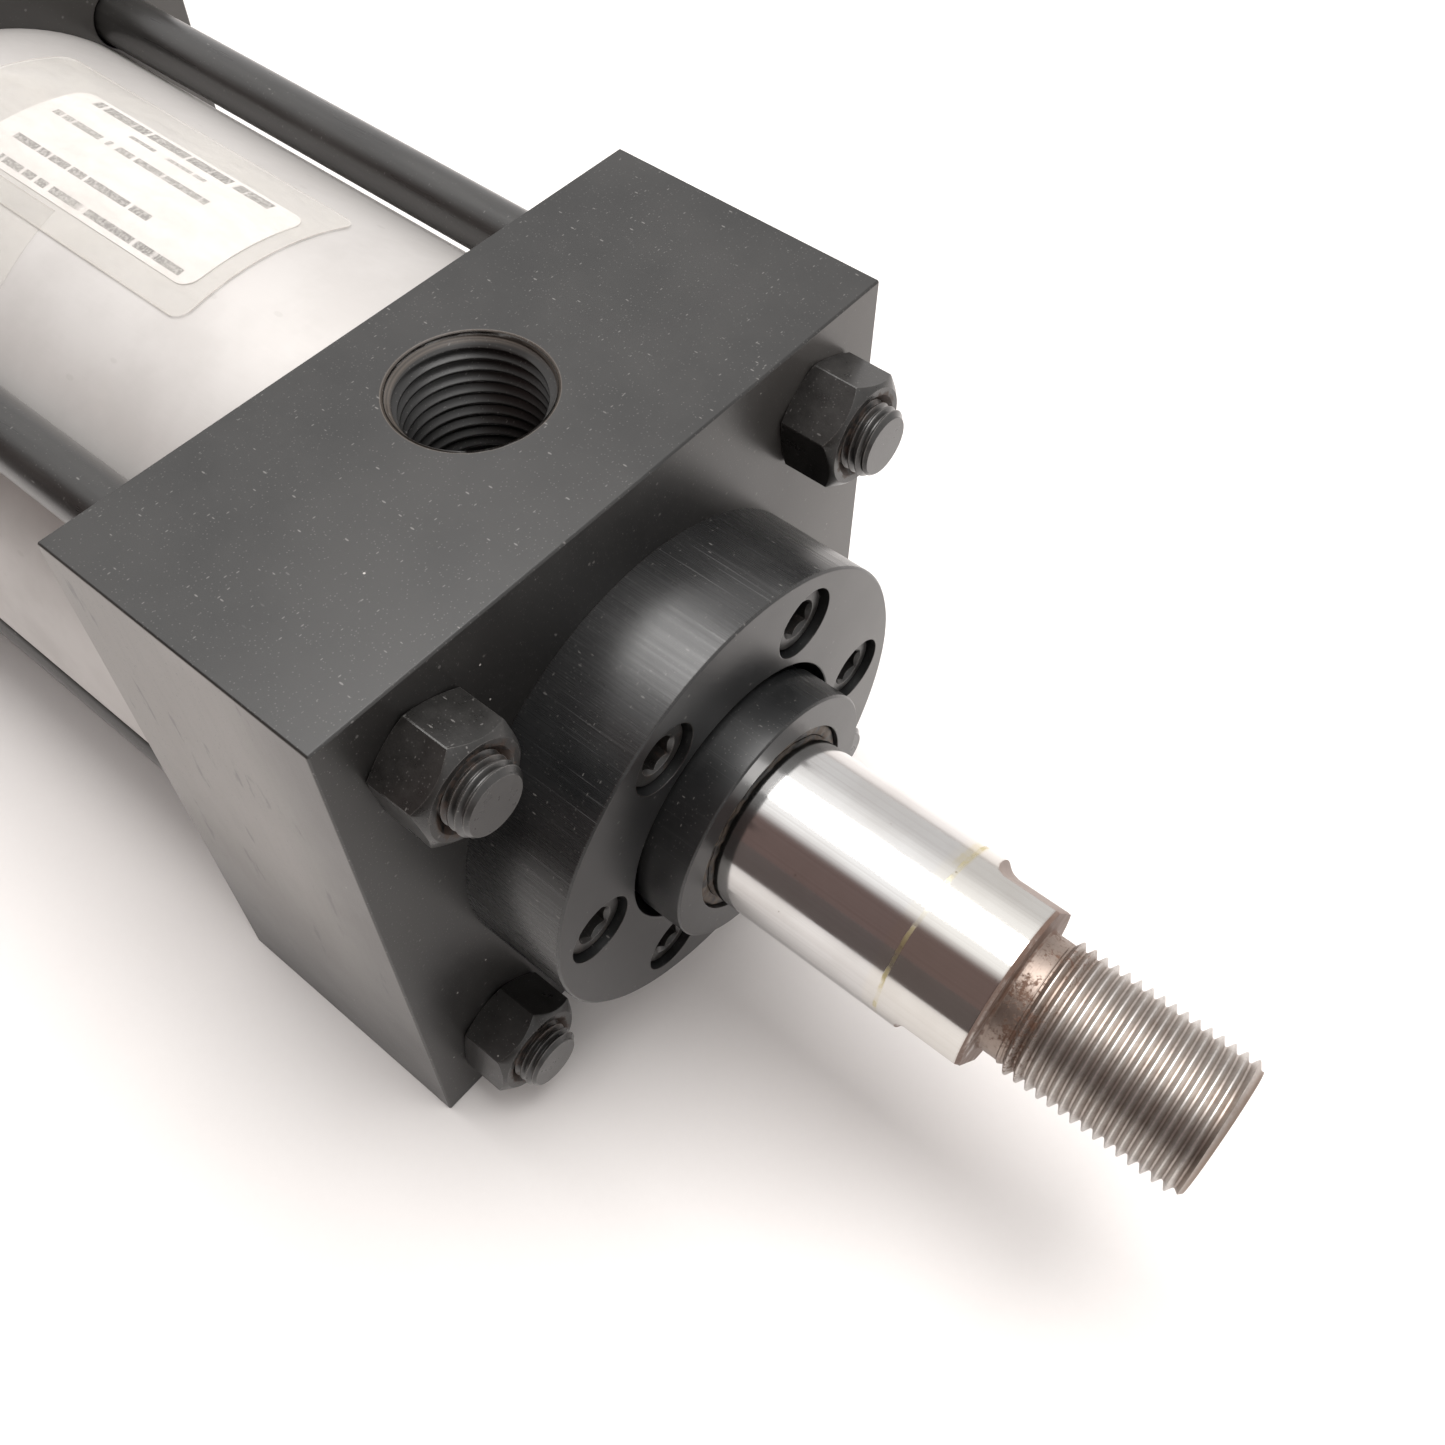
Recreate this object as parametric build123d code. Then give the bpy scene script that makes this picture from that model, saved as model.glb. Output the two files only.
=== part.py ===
from build123d import *
import math
import os

# Tie-rod pneumatic cylinder with NFPA basic-mount proportions, in millimetres.
# +X runs along the rod axis towards the rod end and +Z points out of the ports.
# The origin is on the rod axis, in the plane of the head's front face.
# Looking from the cap along +X, left is +Y and right is -Y.
# Exposed threads are plain cylinders of their major diameter. Engaged threads meet at the pitch diameter.

INCH = 25.4

# Driving dimensions
BORE = 3.25 * INCH
STROKE = 2.75 * INCH
ROD_DIAMETER = 1.0 * INCH
EXTENSION_AT_REST = 26.0

BLOCK_SQUARE = 3.75 * INCH
HEAD_LENGTH = 1.75 * INCH
CAP_LENGTH = 1.25 * INCH
TUBE_DIAMETER = 3.5 * INCH
TIE_ROD_SPACING = 2.76 * INCH
BUMPER_THICKNESS = 0.125 * INCH
PISTON_LENGTH = 1.0 * INCH
EXPOSED_TUBE = STROKE + PISTON_LENGTH + 2 * BUMPER_THICKNESS
BLOCK_CHAMFER = 0.25
FIT_GAP = 0.05
CUT_MARGIN = 1.0
O_RING_GROOVE_RATIO = 1.2

# Tube seats: a groove in each end block, round a pilot that carries an O-ring
SEAT_DEPTH = 4.0
SEAT_GAP = 0.1
TUBE_SEAL_SECTION = 2.3
TUBE_SEAL_GROOVE_WIDTH = 2.6

# Ports, 1/2 NPT
PORT_THREAD_RADIUS = 10.4
PORT_THREAD_DEPTH = 19.0
PORT_DRILL_RADIUS = 9.13
PORT_LEAD = 0.35
HEAD_PORT_X = -1.0 * INCH

# Tie rods and nuts, 3/8-24
TIE_ROD_THREAD_RADIUS = 0.375 * INCH / 2
TIE_ROD_PITCH_RADIUS = 4.42
TIE_ROD_HOLE_RADIUS = 4.85
TIE_ROD_STANDOUT = 11.4
TIE_ROD_END_CHAMFER = 0.8
NUT_ACROSS_FLATS = 0.5625 * INCH
NUT_THICKNESS = 0.328 * INCH
NUT_TURNS = {"upper_left": 39, "upper_right": 39, "lower_left": 8, "lower_right": 22}
NUT_BORE_LEAD = 1.2
NUT_CORNER_CHAMFER = 1.3
NUT_FACE_RADIUS = 6.7

# Rod gland: a cartridge whose flange is held in the head by a screwed round retainer
RETAINER_RADIUS = 2.72 * INCH / 2
RETAINER_THICKNESS = 0.625 * INCH
RETAINER_BORE_RADIUS = 20.25
RETAINER_CHAMFER = 0.3
GLAND_FLANGE_RADIUS = 23.0
GLAND_FLANGE_THICKNESS = 0.25 * INCH
GLAND_REAR_RADIUS = 18.9
GLAND_REAR_X = -14.3
GLAND_NECK_RADIUS = 18.6
PILOT_RADIUS = 0.75 * INCH
PILOT_BACK_X = 15.2
PILOT_FRONT_X = 0.875 * INCH
PILOT_CHAMFER = 0.25
HEAD_CHAMBER_RADIUS = 17.5
CAP_CHAMBER_RADIUS = 16.0
CAP_CHAMBER_DEPTH = 24.0

# Retainer screws, 1/4-20 socket head
SCREW_COUNT = 6
SCREW_CIRCLE_RADIUS = 26.9
SCREW_HEAD_RADIUS = 0.375 * INCH / 2
SCREW_HEAD_HEIGHT = 0.25 * INCH
SCREW_SHANK_RADIUS = 3.1
SCREW_PITCH_RADIUS = 2.82
SCREW_ENGAGEMENT = 0.5 * INCH
SCREW_SOCKET_FLATS = 0.1875 * INCH
SCREW_SOCKET_DEPTH = 3.2
SCREW_SOCKET_TURN = 15
SCREW_HEAD_EDGE = 0.5
SCREW_HOLE_RADIUS = 3.4
COUNTERBORE_RADIUS = 5.15
COUNTERBORE_DEPTH = 7.4

# Pieces carried in the gland
RUNNING_RADIUS = ROD_DIAMETER / 2 + FIT_GAP
BEARING_RADIUS = 14.7
BEARING_FRONT_X = 6.0
GLAND_LAND_RADIUS = 13.2
ROD_SEAL_RADIUS = 16.0
ROD_SEAL_X = (7.0, 12.5)
WIPER_RADIUS = 14.5
WIPER_BACK_X = 16.5
WIPER_LIP_X = 21.9
WIPER_LIP_LENGTH = 0.5
WIPER_LIP_EDGE = 0.35
WIPER_HEEL_GAP = 0.6
WIPER_STEP = 0.3
GLAND_O_RING_SECTION = 1.5
GLAND_O_RING_X = -10.4

# Piston and its pieces
PISTON_CLEARANCE = 0.2
PISTON_CHAMFER = 0.8
STUB_RADIUS = 8.0
STUB_PITCH_RADIUS = 7.25
PISTON_NUT_ACROSS_FLATS = 0.875 * INCH
PISTON_NUT_THICKNESS = 7.6
PISTON_NUT_POCKET_RADIUS = 13.0
PISTON_NUT_POCKET_DEPTH = 8.0
BUMPER_RADII = (13.4, 24.0)
PISTON_SEAL_OFFSET = 8.6
PISTON_SEAL_GROOVE = (36.5, 5.5)
WEAR_BAND_GROOVE = (39.6, 8.3)
PISTON_SEAL_INNER_RADIUS = 36.8
PISTON_SEAL_WIDTH = 5.0
WEAR_BAND_INNER_RADIUS = 39.9
WEAR_BAND_WIDTH = 7.8
PISTON_O_RING_SECTION = 1.3
PISTON_O_RING_SETBACK = 3.0

# Rod end, 3/4-16 thread
ROD_THREAD_RADIUS = 0.75 * INCH / 2
ROD_THREAD_CHAMFER = 1.0
ROD_END_LENGTH = 1.125 * INCH
SHOULDER_RETRACTED_X = 1.375 * INCH
NECK_RADIUS = 8.6
NECK_LENGTH = 2.8
SHOULDER_CHAMFER = 0.5
FLATS_ACROSS = 0.875 * INCH
FLATS_LENGTH = 9.6
FLATS_TURN = 30
FLATS_CUTTER_RADIUS = 1.6

# Label on the tube and the clear tape over it: (low x, high x, low angle, high angle), angles from +Y to +Z
LABEL_EXTENT = (-120.0, -70.5, 73.5, 100.0)
TAPE_EXTENT = (-133.0, -67.0, 66.0, 105.5)
LABEL_THICKNESS = 0.15
TAPE_THICKNESS = 0.12
STICKER_GAP = 0.03
STICKER_CORNER = 2.5

# Places along X
HEAD_BACK_X = -HEAD_LENGTH
CAP_FRONT_X = HEAD_BACK_X - EXPOSED_TUBE
CAP_BACK_X = CAP_FRONT_X - CAP_LENGTH
CAP_PORT_X = (CAP_FRONT_X + CAP_BACK_X) / 2
PISTON_BACK_X = CAP_FRONT_X + EXTENSION_AT_REST + BUMPER_THICKNESS
PISTON_FRONT_X = PISTON_BACK_X + PISTON_LENGTH
PISTON_MID_X = (PISTON_BACK_X + PISTON_FRONT_X) / 2
PISTON_O_RING_X = PISTON_FRONT_X - PISTON_O_RING_SETBACK
POCKET_FLOOR_X = PISTON_BACK_X + PISTON_NUT_POCKET_DEPTH
SHOULDER_X = SHOULDER_RETRACTED_X + EXTENSION_AT_REST
ROD_TIP_X = SHOULDER_X + ROD_END_LENGTH
SCREW_SEAT_X = RETAINER_THICKNESS - COUNTERBORE_DEPTH
PILOT_SEAT_RADIUS = BORE / 2 - SEAT_GAP

CORNERS = {"upper_left": (1, 1), "upper_right": (-1, 1), "lower_left": (1, -1), "lower_right": (-1, -1)}


def turned(*outline):
    """A solid turned about X from an outline of (x, radius) points."""
    return revolve(make_face(Polyline(*outline, close=True)), Axis.X)


def bar(x_low, x_high, radius):
    """A round bar on the X axis."""
    return turned((x_low, 0), (x_high, 0), (x_high, radius), (x_low, radius))


def ring(x_low, x_high, inner, outer):
    """A plain ring round the X axis."""
    return turned((x_low, inner), (x_high, inner), (x_high, outer), (x_low, outer))


def o_ring(x, floor_radius, section):
    """An O-ring that lies just clear of the floor of its groove."""
    return Pos(x, 0, 0) * Rot(0, 90, 0) * Torus(floor_radius + FIT_GAP + section / 2, section / 2)


def o_ring_groove(x, floor_radius, section):
    """The space of a groove for an O-ring in the outside of a round piece."""
    half = O_RING_GROOVE_RATIO * section / 2
    return ring(x - half, x + half, floor_radius, floor_radius + section + CUT_MARGIN)


def hexagon(x_low, x_high, across_flats, turn=0):
    """A hexagonal bar on the X axis, with a corner at the given angle from +Y to +Z."""
    outline = Rot(0, 0, turn) * RegularPolygon(across_flats / math.sqrt(3), 6)
    return extrude(Plane.YZ.offset(x_low) * outline, x_high - x_low)


def at_corner(corner, shape):
    """A shape moved from the X axis to one of the four tie rods."""
    left, up = CORNERS[corner]
    half = TIE_ROD_SPACING / 2
    return Pos(0, left * half, up * half) * shape


def on_screw_circle(shape):
    """Copies of a shape at each place of the retainer's screw circle."""
    moved = Pos(0, SCREW_CIRCLE_RADIUS, 0) * shape
    return [Rot(i * 360 / SCREW_COUNT, 0, 0) * moved for i in range(SCREW_COUNT)]


def end_block(x_low, x_high):
    """A square end block with its four tie-rod holes."""
    block = Pos((x_low + x_high) / 2, 0, 0) * Box(x_high - x_low, BLOCK_SQUARE, BLOCK_SQUARE)
    block = chamfer(block.edges(), BLOCK_CHAMFER)
    hole = bar(x_low - CUT_MARGIN, x_high + CUT_MARGIN, TIE_ROD_HOLE_RADIUS)
    for corner in CORNERS:
        block -= at_corner(corner, hole)
    return block


def tube_seat(face_x, inward):
    """The groove for the tube end and the O-ring groove in its pilot. Inward is 1 or -1, into the block."""
    groove_x = sorted((face_x, face_x + inward * SEAT_DEPTH))
    seal_mid = face_x + inward * SEAT_DEPTH / 2
    seal_x = (seal_mid - TUBE_SEAL_GROOVE_WIDTH / 2, seal_mid + TUBE_SEAL_GROOVE_WIDTH / 2)
    groove = ring(*groove_x, PILOT_SEAT_RADIUS, TUBE_DIAMETER / 2 + FIT_GAP)
    return groove + ring(*seal_x, tube_seal_floor(), PILOT_SEAT_RADIUS + FIT_GAP)


def tube_seal_floor():
    """Radius of the floor of the O-ring groove under the tube."""
    return BORE / 2 - TUBE_SEAL_SECTION - 2 * FIT_GAP


def port(x):
    """The space of a port: a tapped mouth, its lead and the drilling down to the axis."""
    top = BLOCK_SQUARE / 2
    drilling = Pos(x, 0, top / 2) * Cylinder(PORT_DRILL_RADIUS, top)
    thread = Pos(x, 0, top - PORT_THREAD_DEPTH / 2) * Cylinder(PORT_THREAD_RADIUS, PORT_THREAD_DEPTH)
    mouth_radius = PORT_THREAD_RADIUS + PORT_LEAD
    lead = Pos(x, 0, top - PORT_LEAD / 2) * Cone(PORT_THREAD_RADIUS, mouth_radius, PORT_LEAD)
    return drilling + thread + lead


def head():
    flange_seat_x = -GLAND_FLANGE_THICKNESS
    gland_bore = bar(GLAND_REAR_X - FIT_GAP, flange_seat_x, GLAND_REAR_RADIUS + 2 * FIT_GAP)
    flange_seat = bar(flange_seat_x, 0, GLAND_FLANGE_RADIUS + 2 * FIT_GAP)
    chamber = bar(HEAD_BACK_X, GLAND_REAR_X - FIT_GAP, HEAD_CHAMBER_RADIUS)
    screw_holes = on_screw_circle(bar(-SCREW_ENGAGEMENT - CUT_MARGIN, 0, SCREW_PITCH_RADIUS + FIT_GAP))
    block = end_block(HEAD_BACK_X, 0)
    block -= [gland_bore, flange_seat, chamber, tube_seat(HEAD_BACK_X, 1), port(HEAD_PORT_X)]
    return block - screw_holes


def cap():
    chamber = bar(CAP_FRONT_X - CAP_CHAMBER_DEPTH, CAP_FRONT_X, CAP_CHAMBER_RADIUS)
    return end_block(CAP_BACK_X, CAP_FRONT_X) - [chamber, tube_seat(CAP_FRONT_X, -1), port(CAP_PORT_X)]


def tube():
    return ring(CAP_FRONT_X - SEAT_DEPTH, HEAD_BACK_X + SEAT_DEPTH, BORE / 2, TUBE_DIAMETER / 2)


def tie_rod():
    """A tie rod on the X axis: a rolled-thread shank with a full-size thread end past each nut."""
    front, nut_front = TIE_ROD_STANDOUT, NUT_THICKNESS
    back, nut_back = CAP_BACK_X - TIE_ROD_STANDOUT, CAP_BACK_X - NUT_THICKNESS
    tip_radius = TIE_ROD_THREAD_RADIUS - TIE_ROD_END_CHAMFER
    return turned(
        (back, 0),
        (back, tip_radius),
        (back + TIE_ROD_END_CHAMFER, TIE_ROD_THREAD_RADIUS),
        (nut_back, TIE_ROD_THREAD_RADIUS),
        (nut_back, TIE_ROD_PITCH_RADIUS),
        (nut_front, TIE_ROD_PITCH_RADIUS),
        (nut_front, TIE_ROD_THREAD_RADIUS),
        (front - TIE_ROD_END_CHAMFER, TIE_ROD_THREAD_RADIUS),
        (front, tip_radius),
        (front, 0),
    )


def tie_rod_nut(turn, outward):
    """A hexagon nut seated at x = 0 on the X axis, with chamfered outer corners, facing along outward."""
    corner = NUT_ACROSS_FLATS / math.sqrt(3)
    bore = TIE_ROD_PITCH_RADIUS + FIT_GAP
    chamfered = turned(
        (0, 0),
        (0, corner),
        (NUT_THICKNESS - NUT_CORNER_CHAMFER, corner),
        (NUT_THICKNESS, NUT_FACE_RADIUS),
        (NUT_THICKNESS, 0),
    )
    lead_radius = bore + NUT_BORE_LEAD
    leads = turned((0, 0), (0, lead_radius), (NUT_BORE_LEAD, bore), (NUT_BORE_LEAD, 0))
    leads += turned(
        (NUT_THICKNESS, 0),
        (NUT_THICKNESS, lead_radius),
        (NUT_THICKNESS - NUT_BORE_LEAD, bore),
        (NUT_THICKNESS - NUT_BORE_LEAD, 0),
    )
    nut = hexagon(0, NUT_THICKNESS, NUT_ACROSS_FLATS, turn * outward) & chamfered
    nut -= [bar(-CUT_MARGIN, NUT_THICKNESS + CUT_MARGIN, bore), leads]
    return nut if outward > 0 else Rot(0, 0, 180) * nut


def tie_rod_nuts(seat_x, outward):
    """The four nuts on one end block, as separate solids."""
    return Compound([
        Pos(seat_x, 0, 0) * at_corner(corner, tie_rod_nut(NUT_TURNS[corner], outward)) for corner in CORNERS
    ])


def gland_retainer():
    front = RETAINER_THICKNESS
    edge = RETAINER_RADIUS - RETAINER_CHAMFER
    body = turned(
        (0, RETAINER_BORE_RADIUS),
        (0, RETAINER_RADIUS),
        (front - RETAINER_CHAMFER, RETAINER_RADIUS),
        (front, edge),
        (front, RETAINER_BORE_RADIUS + RETAINER_CHAMFER / 2),
        (front - RETAINER_CHAMFER / 2, RETAINER_BORE_RADIUS),
    )
    counterbore = bar(SCREW_SEAT_X, front + CUT_MARGIN, COUNTERBORE_RADIUS)
    return body - on_screw_circle(bar(-CUT_MARGIN, front, SCREW_HOLE_RADIUS) + counterbore)


def retainer_screws():
    """The socket-head screws of the retainer, as separate solids."""
    head_front = SCREW_SEAT_X + SCREW_HEAD_HEIGHT
    screw = turned(
        (-SCREW_ENGAGEMENT, 0),
        (-SCREW_ENGAGEMENT, SCREW_PITCH_RADIUS - SCREW_HEAD_EDGE),
        (SCREW_HEAD_EDGE - SCREW_ENGAGEMENT, SCREW_PITCH_RADIUS),
        (0, SCREW_PITCH_RADIUS),
        (0, SCREW_SHANK_RADIUS),
        (SCREW_SEAT_X, SCREW_SHANK_RADIUS),
        (SCREW_SEAT_X, SCREW_HEAD_RADIUS),
        (head_front - SCREW_HEAD_EDGE, SCREW_HEAD_RADIUS),
        (head_front, SCREW_HEAD_RADIUS - SCREW_HEAD_EDGE),
        (head_front, 0),
    )
    socket_floor = head_front - SCREW_SOCKET_DEPTH
    screw -= hexagon(socket_floor, head_front + CUT_MARGIN, SCREW_SOCKET_FLATS, SCREW_SOCKET_TURN)
    return Compound(on_screw_circle(screw))


def gland_cartridge():
    """The cartridge that carries the rod bearing, rod seal and wiper, with the pilot boss in front."""
    body = turned(
        (GLAND_REAR_X, BEARING_RADIUS),
        (GLAND_REAR_X, GLAND_REAR_RADIUS),
        (-GLAND_FLANGE_THICKNESS, GLAND_REAR_RADIUS),
        (-GLAND_FLANGE_THICKNESS, GLAND_FLANGE_RADIUS),
        (0, GLAND_FLANGE_RADIUS),
        (0, GLAND_NECK_RADIUS),
        (PILOT_BACK_X, GLAND_NECK_RADIUS),
        (PILOT_BACK_X, PILOT_RADIUS),
        (PILOT_FRONT_X - PILOT_CHAMFER, PILOT_RADIUS),
        (PILOT_FRONT_X, PILOT_RADIUS - PILOT_CHAMFER),
        (PILOT_FRONT_X, WIPER_RADIUS),
        (WIPER_BACK_X, WIPER_RADIUS),
        (WIPER_BACK_X, GLAND_LAND_RADIUS),
        (ROD_SEAL_X[1], GLAND_LAND_RADIUS),
        (ROD_SEAL_X[1], ROD_SEAL_RADIUS),
        (ROD_SEAL_X[0], ROD_SEAL_RADIUS),
        (ROD_SEAL_X[0], GLAND_LAND_RADIUS),
        (BEARING_FRONT_X, GLAND_LAND_RADIUS),
        (BEARING_FRONT_X, BEARING_RADIUS),
    )
    return body - o_ring_groove(GLAND_O_RING_X, gland_o_ring_floor(), GLAND_O_RING_SECTION)


def gland_o_ring_floor():
    """Radius of the floor of the O-ring groove in the cartridge."""
    return GLAND_REAR_RADIUS - GLAND_O_RING_SECTION - FIT_GAP


def gland_o_ring():
    return o_ring(GLAND_O_RING_X, gland_o_ring_floor(), GLAND_O_RING_SECTION)


def rod_bearing():
    return ring(GLAND_REAR_X, BEARING_FRONT_X, RUNNING_RADIUS, BEARING_RADIUS - FIT_GAP)


def cup_seal(x_low, x_high, inner, outer, mouth):
    """A U-cup ring whose mouth is a V groove in its low-x or high-x face: mouth is -1 or 1."""
    mouth_x, floor_x = (x_low, x_high) if mouth < 0 else (x_high, x_low)
    middle = (inner + outer) / 2
    half_mouth = (outer - inner) / 4
    return turned(
        (floor_x, inner),
        (floor_x, outer),
        (mouth_x, outer),
        (mouth_x, middle + half_mouth),
        ((x_low + x_high) / 2, middle),
        (mouth_x, middle - half_mouth),
        (mouth_x, inner),
    )


def rod_seal():
    low, high = ROD_SEAL_X
    return cup_seal(low + FIT_GAP, high - FIT_GAP, RUNNING_RADIUS, ROD_SEAL_RADIUS - FIT_GAP, -1)


def rod_wiper():
    """The wiper ring, whose lip leans on the rod just inside the face of the pilot boss."""
    back = WIPER_BACK_X + FIT_GAP
    outer = WIPER_RADIUS - FIT_GAP
    heel = RUNNING_RADIUS + WIPER_HEEL_GAP
    shoulder_x = WIPER_LIP_X - WIPER_LIP_LENGTH
    return turned(
        (back, heel),
        (back, outer),
        (shoulder_x, outer),
        (shoulder_x + WIPER_STEP, outer - WIPER_STEP),
        (WIPER_LIP_X, RUNNING_RADIUS + WIPER_LIP_EDGE),
        (WIPER_LIP_X, RUNNING_RADIUS),
        (shoulder_x, RUNNING_RADIUS),
    )


def tube_seal(face_x, inward):
    return o_ring(face_x + inward * SEAT_DEPTH / 2, tube_seal_floor(), TUBE_SEAL_SECTION)


def piston():
    back, front = PISTON_BACK_X, PISTON_FRONT_X
    outer = BORE / 2 - PISTON_CLEARANCE
    body = ring(back, front, STUB_RADIUS + FIT_GAP, outer)
    body = chamfer(body.edges().filter_by(GeomType.CIRCLE).group_by(SortBy.RADIUS)[-1], PISTON_CHAMFER)
    body -= bar(back, POCKET_FLOOR_X, PISTON_NUT_POCKET_RADIUS)
    grooves = [(PISTON_SEAL_OFFSET, *PISTON_SEAL_GROOVE), (-PISTON_SEAL_OFFSET, *PISTON_SEAL_GROOVE)]
    grooves.append((0, *WEAR_BAND_GROOVE))
    for offset, floor, width in grooves:
        mid = PISTON_MID_X + offset
        body -= ring(mid - width / 2, mid + width / 2, floor, outer + CUT_MARGIN)
    return body


def piston_seal(side):
    mid = PISTON_MID_X + side * PISTON_SEAL_OFFSET
    half = PISTON_SEAL_WIDTH / 2
    return cup_seal(mid - half, mid + half, PISTON_SEAL_INNER_RADIUS, BORE / 2 - FIT_GAP, side)


def piston_wear_band():
    half = WEAR_BAND_WIDTH / 2
    return ring(PISTON_MID_X - half, PISTON_MID_X + half, WEAR_BAND_INNER_RADIUS, BORE / 2 - FIT_GAP)


def piston_bumper(x_low):
    return ring(x_low, x_low + BUMPER_THICKNESS, *BUMPER_RADII)


def piston_nut():
    back = POCKET_FLOOR_X - PISTON_NUT_THICKNESS
    nut = hexagon(back, POCKET_FLOOR_X, PISTON_NUT_ACROSS_FLATS)
    return nut - bar(back - CUT_MARGIN, POCKET_FLOOR_X + CUT_MARGIN, STUB_PITCH_RADIUS + FIT_GAP)


def piston_o_ring_floor():
    """Radius of the floor of the O-ring groove in the rod's stub."""
    return STUB_RADIUS - PISTON_O_RING_SECTION - FIT_GAP


def piston_o_ring():
    return o_ring(PISTON_O_RING_X, piston_o_ring_floor(), PISTON_O_RING_SECTION)


def wrench_flat():
    """The space that one wrench flat removes: its far end keeps the radius of the cutter."""
    length = FLATS_LENGTH + CUT_MARGIN
    space = Pos(length / 2, 0, ROD_DIAMETER / 4) * Box(length, ROD_DIAMETER, ROD_DIAMETER / 2)
    far_edges = space.edges().filter_by(Axis.Y).sort_by(Axis.X)[:2]
    space = fillet(far_edges.sort_by(Axis.Z)[0], FLATS_CUTTER_RADIUS)
    return Pos(SHOULDER_X - FLATS_LENGTH, 0, FLATS_ACROSS / 2) * space


def piston_rod():
    """The rod: a stub for the piston, the ground rod, two wrench flats and the threaded rod end."""
    rod_radius = ROD_DIAMETER / 2
    stub_end = POCKET_FLOOR_X - PISTON_NUT_THICKNESS
    rod = turned(
        (stub_end, 0),
        (stub_end, STUB_PITCH_RADIUS),
        (POCKET_FLOOR_X, STUB_PITCH_RADIUS),
        (POCKET_FLOOR_X, STUB_RADIUS),
        (PISTON_FRONT_X, STUB_RADIUS),
        (PISTON_FRONT_X, rod_radius),
        (SHOULDER_X - SHOULDER_CHAMFER, rod_radius),
        (SHOULDER_X, rod_radius - SHOULDER_CHAMFER),
        (SHOULDER_X, NECK_RADIUS),
        (SHOULDER_X + NECK_LENGTH, NECK_RADIUS),
        (SHOULDER_X + NECK_LENGTH + ROD_THREAD_RADIUS - NECK_RADIUS, ROD_THREAD_RADIUS),
        (ROD_TIP_X - ROD_THREAD_CHAMFER, ROD_THREAD_RADIUS),
        (ROD_TIP_X, ROD_THREAD_RADIUS - ROD_THREAD_CHAMFER),
        (ROD_TIP_X, 0),
    )
    rod -= o_ring_groove(PISTON_O_RING_X, piston_o_ring_floor(), PISTON_O_RING_SECTION)
    for side in (0, 180):
        rod -= Rot(FLATS_TURN - 90 + side, 0, 0) * wrench_flat()
    return rod


def sticker(extent, inner, thickness):
    """A thin rounded rectangle bent round the tube."""
    x_low, x_high, angle_low, angle_high = extent
    face = make_face(Polyline(
        (x_low, inner), (x_high, inner), (x_high, inner + thickness), (x_low, inner + thickness), close=True
    ))
    sheet = Rot(angle_low, 0, 0) * revolve(face, Axis.X, angle_high - angle_low)
    corner_edges = [edge for edge in sheet.edges() if edge.length < 2 * thickness]
    return fillet(corner_edges, STICKER_CORNER)


LABEL_INNER_RADIUS = TUBE_DIAMETER / 2 + STICKER_GAP
TAPE_INNER_RADIUS = LABEL_INNER_RADIUS + LABEL_THICKNESS + STICKER_GAP

parts = {
    "head": head(),
    "cap": cap(),
    "tube": tube(),
    "head_nuts": tie_rod_nuts(0, 1),
    "cap_nuts": tie_rod_nuts(CAP_BACK_X, -1),
    "gland_retainer": gland_retainer(),
    "retainer_screws": retainer_screws(),
    "gland_cartridge": gland_cartridge(),
    "gland_o_ring": gland_o_ring(),
    "rod_bearing": rod_bearing(),
    "rod_seal": rod_seal(),
    "rod_wiper": rod_wiper(),
    "head_tube_seal": tube_seal(HEAD_BACK_X, 1),
    "cap_tube_seal": tube_seal(CAP_FRONT_X, -1),
    "label": sticker(LABEL_EXTENT, LABEL_INNER_RADIUS, LABEL_THICKNESS),
    "label_tape": sticker(TAPE_EXTENT, TAPE_INNER_RADIUS, TAPE_THICKNESS),
    "piston_seal_front": piston_seal(1),
    "piston_seal_back": piston_seal(-1),
    "piston_wear_band": piston_wear_band(),
    "piston_rod": piston_rod(),
    "piston": piston(),
    "piston_bumper_front": piston_bumper(PISTON_FRONT_X),
    "piston_bumper_back": piston_bumper(PISTON_BACK_X - BUMPER_THICKNESS),
    "piston_nut": piston_nut(),
    "piston_o_ring": piston_o_ring(),
}
for corner in CORNERS:
    parts[f"tie_rod_{corner}"] = at_corner(corner, tie_rod())

os.makedirs("parts", exist_ok=True)
for name, shape in parts.items():
    export_step(shape, f"parts/{name}.step")
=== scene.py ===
import math

import bmesh
import bpy
import numpy as np
from mathutils import Matrix, Quaternion, Vector


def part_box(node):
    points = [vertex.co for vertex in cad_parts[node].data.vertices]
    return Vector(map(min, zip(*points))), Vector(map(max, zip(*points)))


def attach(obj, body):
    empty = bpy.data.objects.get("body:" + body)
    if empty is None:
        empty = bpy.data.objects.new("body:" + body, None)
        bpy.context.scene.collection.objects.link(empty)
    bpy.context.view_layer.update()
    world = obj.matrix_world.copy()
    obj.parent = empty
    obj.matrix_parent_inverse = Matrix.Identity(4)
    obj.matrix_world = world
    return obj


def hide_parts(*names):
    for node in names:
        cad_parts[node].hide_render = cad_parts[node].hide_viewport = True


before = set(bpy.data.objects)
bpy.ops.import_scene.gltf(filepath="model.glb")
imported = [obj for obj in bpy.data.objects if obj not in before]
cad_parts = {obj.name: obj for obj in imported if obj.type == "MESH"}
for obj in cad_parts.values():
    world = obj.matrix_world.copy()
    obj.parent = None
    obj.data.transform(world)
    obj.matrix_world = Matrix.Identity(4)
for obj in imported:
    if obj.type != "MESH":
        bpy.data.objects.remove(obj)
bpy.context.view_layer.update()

# Tie-rod pneumatic cylinder, rod end towards +X, ports towards +Z, origin on the rod axis at the head's face.
# Lengths are in metres, and angles round the rod axis run from +Y to +Z.

MM = 0.001
INCH = 0.0254
FULL_TURN = 2 * math.pi

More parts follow.
